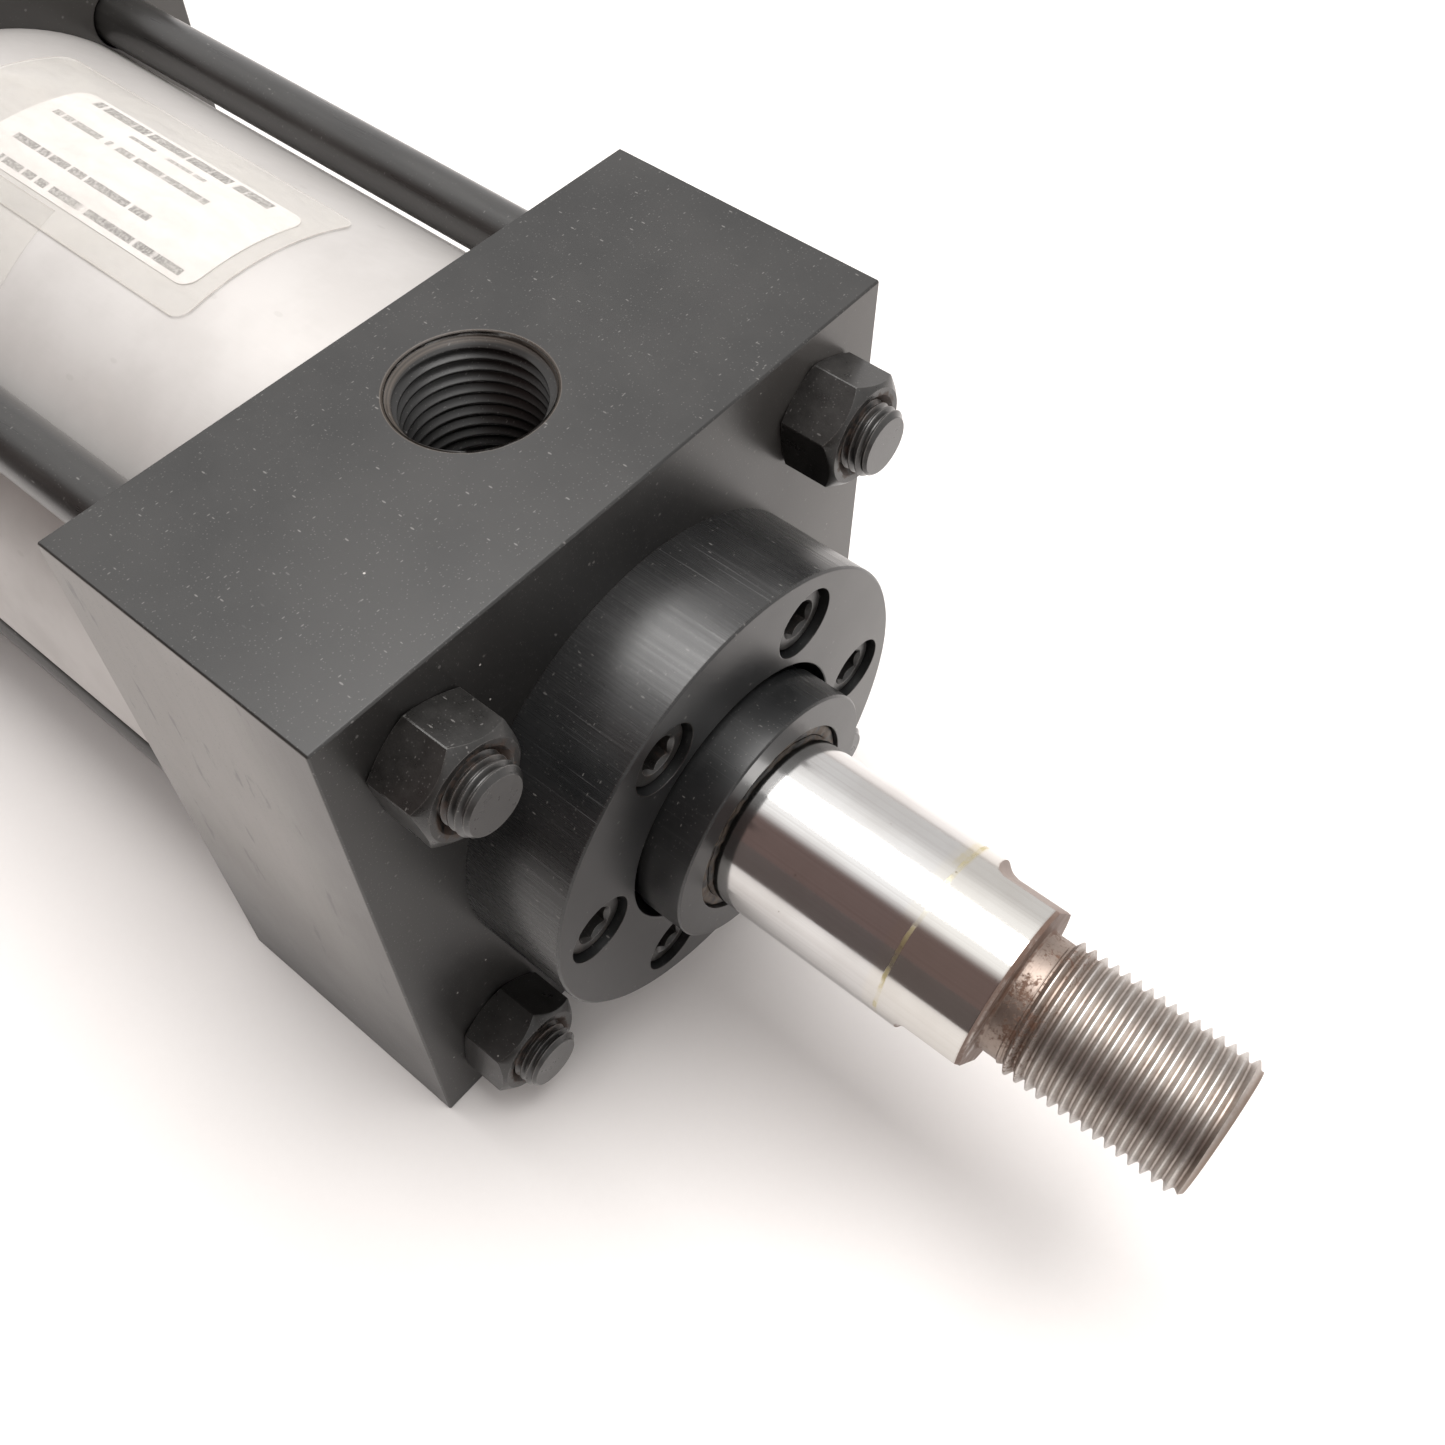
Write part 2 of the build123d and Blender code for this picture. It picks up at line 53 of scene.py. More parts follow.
# Places read from the frame
HEAD_LOW, HEAD_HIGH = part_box("head")
CAP_LOW, CAP_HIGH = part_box("cap")
ROD_LOW, ROD_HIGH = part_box("piston_rod")
RETAINER_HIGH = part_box("gland_retainer")[1]
SCREWS_LOW, SCREWS_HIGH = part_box("retainer_screws")
WIPER_LOW, WIPER_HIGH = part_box("rod_wiper")
TUBE_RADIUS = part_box("tube")[1].z
FLOOR_Z = HEAD_LOW.z
ROD_RADIUS = ROD_HIGH.z

# Rod end, 3/4-16
ROD_END_LENGTH = 1.125 * INCH
SHOULDER_X = ROD_HIGH.x - ROD_END_LENGTH
SHOULDER_CHAMFER = 0.5 * MM
NECK_RADIUS = 8.6 * MM
NECK_LENGTH = 2.8 * MM
ROD_THREAD_RADIUS = 0.375 * INCH
ROD_THREAD_PITCH = INCH / 16
ROD_TIP_CHAMFER = 1.0 * MM
FLAT_DISTANCE = 0.4375 * INCH
FLAT_LENGTH = 9.6 * MM
FLAT_CUTTER_RADIUS = 1.6 * MM
FLAT_ANGLES = (math.radians(33), math.radians(213))
GRIME_RING_X = SHOULDER_X - 12.4 * MM

# Tie rods and nuts, 3/8-24
TIE_ROD_OFFSET = 1.38 * INCH
TIE_ROD_THREAD_RADIUS = 0.1875 * INCH
TIE_ROD_PITCH = INCH / 24
TIE_ROD_SHANK_RADIUS = 4.42 * MM
TIE_ROD_TIP_CHAMFER = 0.8 * MM
TIE_ROD_THREAD_LENGTH = 5.6 * MM
NUT_FLAT_DISTANCE = 0.28125 * INCH
NUT_THICKNESS = 0.328 * INCH
NUT_FACE_RADIUS = 6.7 * MM
NUT_CHAMFER = 1.3 * MM
NUT_BORE_RADIUS = 4.47 * MM
NUT_LEAD = 1.2 * MM
NUT_TURNS = {"upper_left": 39, "upper_right": 39, "lower_left": 8, "lower_right": 22}
CORNERS = {"upper_left": (1, 1), "upper_right": (-1, 1), "lower_left": (1, -1), "lower_right": (-1, -1)}

# Retainer screws, 1/4-20 socket head
SCREW_COUNT = 6
SCREW_CIRCLE_RADIUS = 26.9 * MM
SCREW_HEAD_RADIUS = 0.1875 * INCH
SCREW_HEAD_HEIGHT = 0.25 * INCH
SCREW_SHANK_RADIUS = 2.82 * MM
SCREW_SOCKET_DISTANCE = 0.09375 * INCH
SCREW_SOCKET_DEPTH = 3.2 * MM
SCREW_SOCKET_TURN = math.radians(15)

# Ports, 1/2 NPT
PORT_PITCH = INCH / 14
PORT_CREST_RADIUS = 9.16 * MM
PORT_ROOT_RADIUS = 10.33 * MM
PORT_BORE_RADIUS = 10.4 * MM
PORT_WALL_GAP = 0.02 * MM
PORT_DEPTH = 18.9 * MM
PORT_LEAD = 0.35 * MM
HEAD_PORT_X = -1.0 * INCH
CAP_PORT_X = (CAP_LOW.x + CAP_HIGH.x) / 2

THREAD_DEPTH = 0.613  # in pitches
NPT_TAPER = 1 / 32  # of the radius, in length

# Stickers on the tube, in millimetres along X and degrees round it
TAPE_X = (-133.0, -67.0)
TAPE_ANGLES = (66.0, 105.5)
STRIP_ANGLES = (101.0, 127.0)

MERGE_DISTANCE = 1e-7
SHARP_ANGLE = math.radians(24)
ROUND_COLUMNS = 144


# -------------------------------- mesh work

def turned_points(x, radius, angle):
    """Points round the X axis. x and radius are numbers, or arrays in the shape of angle."""
    return np.stack([x + 0 * angle, radius * np.cos(angle), radius * np.sin(angle)], axis=-1)


def even_angles(columns=ROUND_COLUMNS):
    return np.linspace(0, FULL_TURN, columns + 1)


def grid_mesh(points):
    """A bmesh over a grid of points whose first and last columns meet. Rows that fall together are merged."""
    rows, columns = points.shape[:2]
    grid = bmesh.new()
    vertices = [grid.verts.new(point) for point in points.reshape(-1, 3).tolist()]
    for row in range(rows - 1):
        for column in range(columns - 1):
            first = row * columns + column
            corners = (first, first + 1, first + columns + 1, first + columns)
            grid.faces.new([vertices[corner] for corner in corners])
    bmesh.ops.remove_doubles(grid, verts=grid.verts, dist=MERGE_DISTANCE)
    bmesh.ops.dissolve_degenerate(grid, dist=MERGE_DISTANCE, edges=grid.edges)
    bmesh.ops.recalc_face_normals(grid, faces=grid.faces)
    return grid


def rows_of(outline, angle):
    """Grid rows for a turned outline of (x, radius) points."""
    return [turned_points(x, radius, angle) for x, radius in outline]


def eased(outline, ease, steps=3):
    """A turned outline with each inner corner rounded off by about ease."""
    points = [Vector(point) for point in outline]
    result = [points[0]]
    for before, corner, after in zip(points, points[1:], points[2:]):
        to_before = before - corner
        to_after = after - corner
        start = corner + to_before.normalized() * min(ease, 0.4 * to_before.length)
        end = corner + to_after.normalized() * min(ease, 0.4 * to_after.length)
        for step in range(steps + 1):
            share = step / steps
            result.append(start.lerp(corner, share).lerp(corner.lerp(end, share), share))
    result.append(points[-1])
    return [tuple(point) for point in result]


def along_x(low, high, spacing):
    """Places from low to high about spacing apart, so that long turned faces have even rows."""
    count = max(2, round((high - low) / spacing) + 1)
    return np.linspace(low, high, count)


# One pitch of a 60-degree thread: (share of the pitch, share of the thread's height)
THREAD_PROFILE = (
    (0.00, 0.00),
    (0.07, 0.02),
    (0.13, 0.11),
    (0.40, 0.90),
    (0.44, 0.99),
    (0.50, 1.00),
    (0.56, 0.99),
    (0.60, 0.90),
    (0.87, 0.11),
    (0.93, 0.02),
)


def thread_rows(x_low, x_high, pitch, root, crest, trim, angle):
    """Grid rows of a thread on the X axis, along its helix. trim(x, radius) cuts its ends to shape."""
    shares, heights = np.array(THREAD_PROFILE).T
    turns = math.ceil((x_high - x_low) / pitch) + 2
    starts = (np.arange(-1, turns)[:, None] + shares[None, :]).reshape(-1)
    rows = []
    for start in starts:
        x = np.clip(x_low + pitch * (start + angle / FULL_TURN), x_low, x_high)
        phase = ((x - x_low) / pitch - angle / FULL_TURN) % 1.0
        height = np.interp(phase, np.append(shares, 1.0), np.append(heights, 0.0))
        rows.append(turned_points(x, trim(x, root + (crest - root) * height), angle))
    return rows


def no_larger(places, limits):
    """A trim that keeps a radius under the line through limits at places."""
    return lambda x, radius: np.minimum(radius, np.interp(x, places, limits))


def hexagon_radius(flat_distance, angle, corner_land):
    """Distance to the outline of a hexagon with a corner at angle 0, its corners worn off by corner_land."""
    from_flat = (angle % (FULL_TURN / 6)) - FULL_TURN / 12
    corner = flat_distance / math.cos(FULL_TURN / 12) - corner_land
    return np.minimum(flat_distance / np.cos(from_flat), corner)


def hexagon_angles(flat_distance, corner_land, per_side=12):
    """Column angles with a column at each side of every worn corner."""
    corner = flat_distance / math.cos(FULL_TURN / 12) - corner_land
    half_side = math.acos(flat_distance / corner)
    side = np.linspace(-half_side, half_side, per_side + 1) + FULL_TURN / 12
    angles = np.concatenate([side + turn * FULL_TURN / 6 for turn in range(6)])
    return np.append(angles, angles[0] + FULL_TURN)


def joined(parts):
    """One bmesh from (bmesh, matrix) pairs."""
    whole = bmesh.new()
    for part, matrix in parts:
        copy = bpy.data.meshes.new("part")
        part.to_mesh(copy)
        copy.transform(matrix)
        whole.from_mesh(copy)
        bpy.data.meshes.remove(copy)
    return whole


def new_object(name, data):
    item = bpy.data.objects.new(name, data)
    bpy.context.scene.collection.objects.link(item)
    return item


def add_piece(name, grid, body, materials, replaced=(), material_of=None):
    for face in grid.faces:
        face.smooth = True
        face.material_index = material_of(face) if material_of else 0
    for edge in grid.edges:
        edge.smooth = len(edge.link_faces) == 2 and edge.calc_face_angle() < SHARP_ANGLE
    mesh = bpy.data.meshes.new(name)
    grid.to_mesh(mesh)
    grid.free()
    for material in materials:
        mesh.materials.append(material)
    piece = new_object(name, mesh)
    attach(piece, body)
    if replaced:
        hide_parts(*replaced)
    return piece


def place(corner):
    """The matrix that moves a shape from the X axis to a tie rod."""
    left, up = CORNERS[corner]
    return Matrix.Translation((0, left * TIE_ROD_OFFSET, up * TIE_ROD_OFFSET))


# -------------------------------- materials

class Nodes:
    """Short ways to add nodes to a material or the world."""

    def __init__(self, tree):
        self.tree = tree

    def add(self, kind, *inputs, **settings):
        """A node with its first inputs linked or set in order."""
        node = self.tree.nodes.new(kind)
        for setting, value in settings.items():
            setattr(node, setting, value)
        for socket, value in zip(node.inputs, inputs):
            self.feed(socket, value)
        return node

    def feed(self, socket, value):
        if isinstance(value, bpy.types.NodeSocket):
            self.tree.links.new(value, socket)
        else:
            socket.default_value = (*value, 1.0) if isinstance(value, tuple) else value

    def math(self, operation, *inputs, **settings):
        return self.add("ShaderNodeMath", *inputs, operation=operation, **settings).outputs[0]

    def plus(self, first, second, **settings):
        return self.math("ADD", first, second, **settings)

    def minus(self, first, second):
        return self.math("SUBTRACT", first, second)

    def times(self, product, *factors):
        for factor in factors:
            product = self.math("MULTIPLY", product, factor)
        return product

    def length(self, first, second):
        """Length of a vector from its two parts."""
        return self.math("SQRT", self.plus(self.times(first, first), self.times(second, second)))

    def between(self, value, low, high, out_low=0.0, out_high=1.0):
        """Smoothly from out_low at low to out_high at high, and constant outside."""
        node = self.add("ShaderNodeMapRange", interpolation_type="SMOOTHSTEP")
        for socket, number in zip(("Value", "From Min", "From Max", "To Min", "To Max"),
                                  (value, low, high, out_low, out_high)):
            self.feed(node.inputs[socket], number)
        return node.outputs["Result"]

    def band(self, value, low, high, soft):
        """1 between low and high, with soft edges."""
        rise = self.between(value, low - soft, low)
        return self.times(rise, self.between(value, high, high + soft, 1.0, 0.0))

    def mix(self, factor, first, second):
        """A colour between two colours."""
        node = self.add("ShaderNodeMix", data_type="RGBA", clamp_factor=True)
        self.feed(node.inputs["Factor"], factor)
        self.feed(node.inputs[6], first)
        self.feed(node.inputs[7], second)
        return node.outputs[2]


class Surface(Nodes):
    """A material whose nodes work from the place on the piece, in metres in the row frame."""

    def __init__(self, name, **sockets):
        self.material = bpy.data.materials.new(name)
        self.material.use_nodes = True
        super().__init__(self.material.node_tree)
        self.shader = self.tree.nodes["Principled BSDF"]
        for socket, value in sockets.items():
            self.shader.inputs[socket.replace("_", " ")].default_value = value
        self.place = self.add("ShaderNodeTexCoord").outputs["Object"]
        self.x, self.y, self.z = self.add("ShaderNodeSeparateXYZ", self.place).outputs

    def stretched(self, x, y, z, turn=0.0):
        """The place, turned about Z and multiplied by a factor along each axis."""
        node = self.add("ShaderNodeMapping", self.place)
        node.inputs["Rotation"].default_value = (0.0, 0.0, turn)
        node.inputs["Scale"].default_value = (x, y, z)
        return node.outputs["Vector"]

    def noise(self, vector, scale, detail=3.0, roughness=0.55):
        node = self.add("ShaderNodeTexNoise", vector)
        node.inputs["Scale"].default_value = scale
        node.inputs["Detail"].default_value = detail
        node.inputs["Roughness"].default_value = roughness
        return node.outputs[0]

    def clouds(self, scale, detail, roughness):
        return self.noise(self.place, scale, detail, roughness)

    def specks(self, vector, scale, size, share):
        """Small separate spots: size is in cells, and share is how many cells have one."""
        node = self.add("ShaderNodeTexVoronoi", vector)
        node.inputs["Scale"].default_value = scale
        chance = self.add("ShaderNodeSeparateColor", node.outputs["Color"]).outputs[0]
        spot = self.between(node.outputs["Distance"], 0.6 * size, size, 1.0, 0.0)
        return self.times(spot, self.between(chance, 1.0 - share, 1.0 - 0.6 * share))

    def radius(self):
        """Distance from the rod axis."""
        return self.length(self.y, self.z)

    def turns(self):
        """Angle round the rod axis, in turns."""
        return self.math("DIVIDE", self.math("ARCTAN2", self.z, self.y), FULL_TURN)

    def facing_front(self):
        """1 on faces that look along +X."""
        normal = self.add("ShaderNodeTexCoord").outputs["Normal"]
        return self.between(self.add("ShaderNodeSeparateXYZ", normal).outputs[0], 0.9, 0.98)

    def joined_vector(self, x, y):
        return self.add("ShaderNodeCombineXYZ", x, y).outputs[0]

    def unrolled(self, along, around):
        """The place on a turned surface laid flat: X times along, and turns times around."""
        return self.joined_vector(self.times(self.x, along), self.times(self.turns(), around))

    def edge_wear(self, radius, low, high):
        """1 along the piece's edges, found by comparing its normal with a rounded one."""
        rounded = self.add("ShaderNodeBevel", radius, samples=4).outputs[0]
        normal = self.add("ShaderNodeNewGeometry").outputs["Normal"]
        dot = self.add("ShaderNodeVectorMath", rounded, normal, operation="DOT_PRODUCT")
        return self.between(self.minus(1.0, dot.outputs["Value"]), low, high)

    def colour(self, value):
        self.feed(self.shader.inputs["Base Color"], value)

    def roughness(self, value):
        self.feed(self.shader.inputs["Roughness"], value)

    def bump(self, height, distance, strength, edge_radius=None):
        node = self.add("ShaderNodeBump")
        self.feed(node.inputs["Height"], height)
        node.inputs["Distance"].default_value = distance
        node.inputs["Strength"].default_value = strength
        if edge_radius:
            rounded = self.add("ShaderNodeBevel", edge_radius, samples=4).outputs[0]
            self.feed(node.inputs["Normal"], rounded)
        self.feed(self.shader.inputs["Normal"], node.outputs[0])


def grey(value, warmth=0.0):
    """A linear grey, warmer or cooler by a share."""
    return (value * (1 + warmth), value, value * (1 - warmth))


def add_dust(surface, colour, amount=1.0):
    """Pale lint and dust specks of four sizes over a colour."""
    long_lint = surface.specks(surface.stretched(0.36, 1.0, 1.0, turn=0.6), 1000.0, 0.135, 0.30 * amount)
    short_lint = surface.specks(surface.stretched(1.0, 0.42, 0.42, turn=-0.3), 1350.0, 0.15, 0.42 * amount)
    fine = surface.specks(surface.place, 2300.0, 0.25, 0.6 * amount)
    large = surface.specks(surface.place, 300.0, 0.055, 0.12 * amount)
    colour = surface.mix(surface.times(fine, 0.5), colour, grey(0.09, 0.04))
    colour = surface.mix(surface.times(short_lint, 0.75), colour, grey(0.11, 0.04))
    colour = surface.mix(surface.times(long_lint, 0.75), colour, grey(0.14, 0.04))
    return surface.mix(large, colour, grey(0.36, 0.05))


def port_rim(surface, colour):
    """Pale brown machined rings round the mouths of both ports."""
    offsets = [surface.minus(surface.x, port_x) for port_x in (HEAD_PORT_X, CAP_PORT_X)]
    along = surface.math("MINIMUM", *[surface.math("ABSOLUTE", offset) for offset in offsets])
    radius = surface.length(along, surface.y)
    rings = surface.noise(surface.joined_vector(surface.times(radius, 3500.0), 0.0), 1.0, 2.0)
    rim = surface.times(
        surface.band(radius, 9.7 * MM, 10.75 * MM, 0.12 * MM),
        surface.between(surface.z, HEAD_HIGH.z - 1.3 * MM, HEAD_HIGH.z - 0.8 * MM),
        surface.between(rings, 0.35, 0.65, 0.35, 1.0),
    )
    return surface.mix(rim, colour, (0.085, 0.071, 0.060))


def black_anodised():
    """Blasted and black-anodised aluminium blocks, dusty, with scuffs and dark handling patches, and painted
    reflections: a lighter brushed -Y face, lightest towards its top and back, and a lighter +Y side on the
    front faces.
    """
    surface = Surface("black_anodised_block", IOR=1.5)
    patches = surface.clouds(38.0, 4.0, 0.6)
    grain = surface.clouds(5200.0, 2.0, 0.6)
    scuff_field = surface.noise(surface.stretched(1.0, 6.0, 0.5, turn=0.5), 240.0, 4.0, 0.7)
    scuffs = surface.between(scuff_field, 0.66, 0.78)
    brushed = surface.noise(surface.stretched(14.0, 1.0, 1.0), 60.0, 4.0, 0.7)
    smears = surface.noise(surface.stretched(4.0, 1.0, 1.0), 62.0, 4.0, 0.62)
    # Painted reflection: the -Y face is painted lighter, most towards its top and back, standing in for the
    # lit floor mirrored in it; brushed lines and dark smears break it up.
    film = surface.times(
        surface.between(surface.y, HEAD_LOW.y + 0.02 * MM, HEAD_LOW.y + 0.08 * MM, 1.0, 0.0),
        surface.between(surface.z, -HEAD_HIGH.z, 0.4 * HEAD_HIGH.z, 0.0, 0.9),
        surface.between(surface.x, -18 * MM, 0.0, 1.0, 0.42),
        surface.between(brushed, 0.25, 0.6, 0.9, 1.0),
        surface.between(smears, 0.61, 0.68, 1.0, 0.5),
    )
    # Painted reflection: the +Y side of the front faces is painted lighter, standing in for the bright floor
    # mirrored there.
    painted_front_reflection = surface.times(surface.facing_front(), surface.between(surface.y, 5 * MM, HEAD_HIGH.y, 0.0, 0.2))
    colour = surface.mix(surface.between(patches, 0.32, 0.68), grey(0.010, 0.02), grey(0.018, 0.05))
    colour = surface.mix(surface.times(grain, 0.25), colour, grey(0.028, 0.03))
    colour = surface.mix(surface.times(scuffs, 0.2), colour, grey(0.07, 0.03))
    colour = surface.mix(surface.edge_wear(0.0004, 0.05, 0.4), colour, grey(0.018, 0.06))
    # Both painted reflections lighten the colour here.
    colour = surface.mix(surface.math("MAXIMUM", film, painted_front_reflection), colour, grey(0.27, 0.07))
    surface.colour(add_dust(surface, port_rim(surface, colour)))
    smudges = surface.between(patches, 0.3, 0.7, 0.27, 0.34)
    surface.roughness(surface.plus(smudges, surface.times(grain, 0.05)))
    surface.bump(grain, 0.00002, 0.4, 0.0002)
    return surface.material


def black_turned(name, streak, side_radius):
    """Black-anodised turned aluminium, with fine rubbed streaks along its side, a painted reflection
    lightening the +Y side of its front faces, and a painted highlight towards its top.
    """
    surface = Surface(name, IOR=1.52)
    on_side = surface.between(surface.radius(), side_radius - 0.25 * MM, side_radius - 0.05 * MM, 0.0, streak)
    lines = surface.noise(surface.unrolled(18.0, 460.0), 1.0, 4.0, 0.75)
    broad = surface.noise(surface.unrolled(60.0, 60.0), 1.0)
    patches = surface.clouds(60.0, 4.0, 0.6)
    grain = surface.clouds(5200.0, 2.0, 0.6)
    rubbed = surface.times(surface.between(lines, 0.55, 0.75), on_side, surface.between(broad, 0.4, 0.6))
    colour = surface.mix(surface.between(patches, 0.3, 0.7), grey(0.009, -0.05), grey(0.016, -0.02))
    colour = surface.mix(rubbed, colour, grey(0.095, 0.0))
    # Painted reflection on the +Y side of the front faces and a painted highlight towards the top both
    # lighten the colour.
    painted_front_reflection = surface.times(surface.facing_front(), surface.between(surface.y, 0.0, RETAINER_HIGH.z, 0.0, 0.25))
    painted_top_highlight = surface.between(surface.z, 0.7 * RETAINER_HIGH.z, 0.95 * RETAINER_HIGH.z, 0.0, 0.025)
    colour = surface.mix(surface.math("MAXIMUM", painted_front_reflection, painted_top_highlight), colour, grey(0.24, 0.05))
    colour = surface.mix(surface.edge_wear(0.0003, 0.05, 0.4), colour, (0.030, 0.020, 0.015))
    surface.colour(add_dust(surface, colour, 0.7))
    gloss = surface.times(surface.between(lines, 0.35, 0.68, 0.0, 0.12), on_side)
    surface.roughness(surface.minus(surface.between(patches, 0.3, 0.7, 0.30, 0.36), gloss))
    height = surface.plus(surface.times(lines, on_side), surface.times(grain, 0.3))
    surface.bump(height, 0.00003, 0.6, 0.0002)
    return surface.material


def tube_alloy():
    """Satin clear-anodised aluminium tube with drawn lines, faint smudges and tan stains."""
    surface = Surface("satin_tube", Metallic=0.5, IOR=1.5)
    drawn = surface.noise(surface.unrolled(30.0, 900.0), 1.0, 3.0, 0.7)
    smudges = surface.clouds(70.0, 4.0, 0.62)
    stains = surface.noise(surface.stretched(1.0, 0.8, 0.8), 42.0, 3.0, 0.5)
    marks = surface.specks(surface.stretched(0.5, 1.0, 1.0), 420.0, 0.2, 0.12)
    grain = surface.clouds(4200.0, 2.0, 0.6)
    smudged = surface.between(smudges, 0.35, 0.7)
    colour = surface.mix(smudged, (0.515, 0.495, 0.48), (0.47, 0.45, 0.435))
    colour = surface.mix(surface.between(stains, 0.58, 0.76, 0.0, 0.3), colour, (0.48, 0.40, 0.32))
    colour = surface.mix(surface.times(drawn, 0.12), colour, (0.36, 0.345, 0.335))
    colour = surface.mix(surface.times(marks, 0.2), colour, (0.32, 0.30, 0.28))
    surface.colour(colour)
    surface.roughness(surface.between(smudges, 0.3, 0.75, 0.46, 0.52))
    surface.bump(surface.plus(drawn, grain), 0.00001, 0.35)
    return surface.material


def from_tie_rod(surface):
    """Distance from the nearest tie rod's axis."""
    side = surface.minus(surface.math("ABSOLUTE", surface.y), TIE_ROD_OFFSET)
    rise = surface.minus(surface.math("ABSOLUTE", surface.z), TIE_ROD_OFFSET)
    return surface.length(side, rise)


def past_seat(surface):
    """Distance along X past the nut seat of the nearer end block."""
    middle = (HEAD_HIGH.x + CAP_LOW.x) / 2
    from_middle = surface.math("ABSOLUTE", surface.minus(surface.x, middle))
    return surface.minus(from_middle, HEAD_HIGH.x - middle)


def oxide_finish(surface, patches, rust, dark, light, dust):
    """Colour and relief of black oxide: bright worn edges, patches between two greys, and brown rust."""
    grain = surface.clouds(3600.0, 3.0, 0.65)
    wear = surface.edge_wear(0.0003, 0.03, 0.25)
    colour = surface.mix(surface.between(patches, 0.3, 0.7), grey(dark, 0.05), grey(light, 0.05))
    colour = surface.mix(surface.times(rust, 0.75), colour, (0.065, 0.040, 0.028))
    worn = surface.times(wear, surface.between(grain, 0.3, 0.6, 0.4, 1.0))
    colour = surface.mix(worn, colour, grey(0.20, 0.05))
    surface.colour(add_dust(surface, colour, dust))
    surface.feed(surface.shader.inputs["Metallic"], surface.times(worn, 0.6))
    surface.roughness(surface.plus(surface.between(patches, 0.3, 0.7, 0.27, 0.34),
                                   surface.times(rust, 0.3), use_clamp=True))
    surface.bump(surface.plus(grain, surface.times(rust, 0.8)), 0.00003, 0.5)
    return surface.material


def nut_oxide():
    """Black-oxide nuts, rusty in the countersink round the stud."""
    surface = Surface("black_oxide_nut", IOR=1.5)
    patches = surface.clouds(330.0, 4.0, 0.65)
    field = surface.clouds(620.0, 4.0, 0.7)
    nearness = surface.between(from_tie_rod(surface), 5.2 * MM, 7.4 * MM, 0.29, -0.12)
    rust = surface.between(surface.plus(field, nearness), 0.62, 0.80)
    return oxide_finish(surface, patches, rust, 0.012, 0.020, 1.0)


def stud_oxide():
    """Black-oxide tie rods: smooth drawn shanks, with some rust where they leave the nuts."""
    surface = Surface("black_oxide_stud", IOR=1.45, Coat_Weight=0.55, Coat_IOR=1.4, Coat_Roughness=0.28)
    drawn = surface.noise(surface.stretched(0.1, 1.0, 1.0), 500.0, 3.0, 0.6)
    field = surface.clouds(620.0, 4.0, 0.7)
    at_nut = surface.band(past_seat(surface), NUT_THICKNESS - 1.0 * MM, NUT_THICKNESS + 0.2 * MM, 0.7 * MM)
    rust = surface.times(surface.between(field, 0.42, 0.62), at_nut)
    return oxide_finish(surface, drawn, rust, 0.012, 0.020, 0.5)


def screw_oxide():
    """Black-oxide socket screws with spots of rust."""
    surface = Surface("black_oxide_screw", IOR=1.5)
    patches = surface.clouds(330.0, 4.0, 0.65)
    rust = surface.between(surface.clouds(620.0, 4.0, 0.7), 0.56, 0.76)
    return oxide_finish(surface, patches, rust, 0.010, 0.020, 0.8)


def hard_chrome():
    """Ground hard chrome: faint lines round the rod, smudges, pits and a yellowed ring of dried grease."""
    surface = Surface("hard_chrome_rod", Metallic=1.0)
    ground = surface.noise(surface.unrolled(1800.0, 6.0), 1.0, 2.0)
    smudges = surface.clouds(95.0, 4.0, 0.6)
    streaks = surface.noise(surface.unrolled(9.0, 210.0), 1.0, 3.0, 0.6)
    pits = surface.specks(surface.place, 700.0, 0.16, 0.10)
    wander = surface.clouds(260.0, 3.0, 0.6)
    ring_x = surface.plus(surface.x, surface.times(wander, 0.7 * MM))
    ring_centre = GRIME_RING_X + 0.35 * MM
    ring = surface.times(
        surface.band(ring_x, ring_centre - 0.18 * MM, ring_centre + 0.18 * MM, 0.22 * MM),
        surface.between(wander, 0.36, 0.60, 0.15, 0.8),
    )
    film = surface.band(surface.x, GRIME_RING_X - 1.5 * MM, SHOULDER_X, 1.0 * MM)
    smudged = surface.between(smudges, 0.35, 0.7)
    colour = surface.mix(smudged, (0.60, 0.595, 0.59), (0.55, 0.54, 0.53))
    colour = surface.mix(surface.between(streaks, 0.42, 0.72, 0.0, 0.24), colour, (0.43, 0.40, 0.385))
    colour = surface.mix(surface.times(film, 0.25), colour, (0.62, 0.58, 0.50))
    colour = surface.mix(surface.times(pits, 0.6), colour, (0.25, 0.22, 0.19))
    smear = surface.times(
        surface.band(ring_x, ring_centre - 0.9 * MM, ring_centre + 0.2 * MM, 0.5 * MM),
        surface.band(surface.turns(), 0.13, 0.19, 0.035),
        surface.between(wander, 0.3, 0.6, 0.3, 0.7),
    )
    colour = surface.mix(smear, colour, (0.56, 0.50, 0.34))
    colour = surface.mix(ring, colour, (0.50, 0.43, 0.20))
    edges = surface.times(surface.edge_wear(0.0005, 0.02, 0.15), surface.between(wander, 0.3, 0.5, 0.4, 0.9))
    surface.colour(surface.mix(edges, colour, (0.16, 0.095, 0.065)))
    rough = surface.between(smudges, 0.3, 0.75, 0.095, 0.15)
    surface.roughness(surface.plus(rough, surface.times(ring, 0.35), use_clamp=True))
    height = surface.plus(surface.times(ground, 0.05), surface.times(ring, 4.0))
    surface.bump(height, 0.000008, 0.5)
    return surface.material


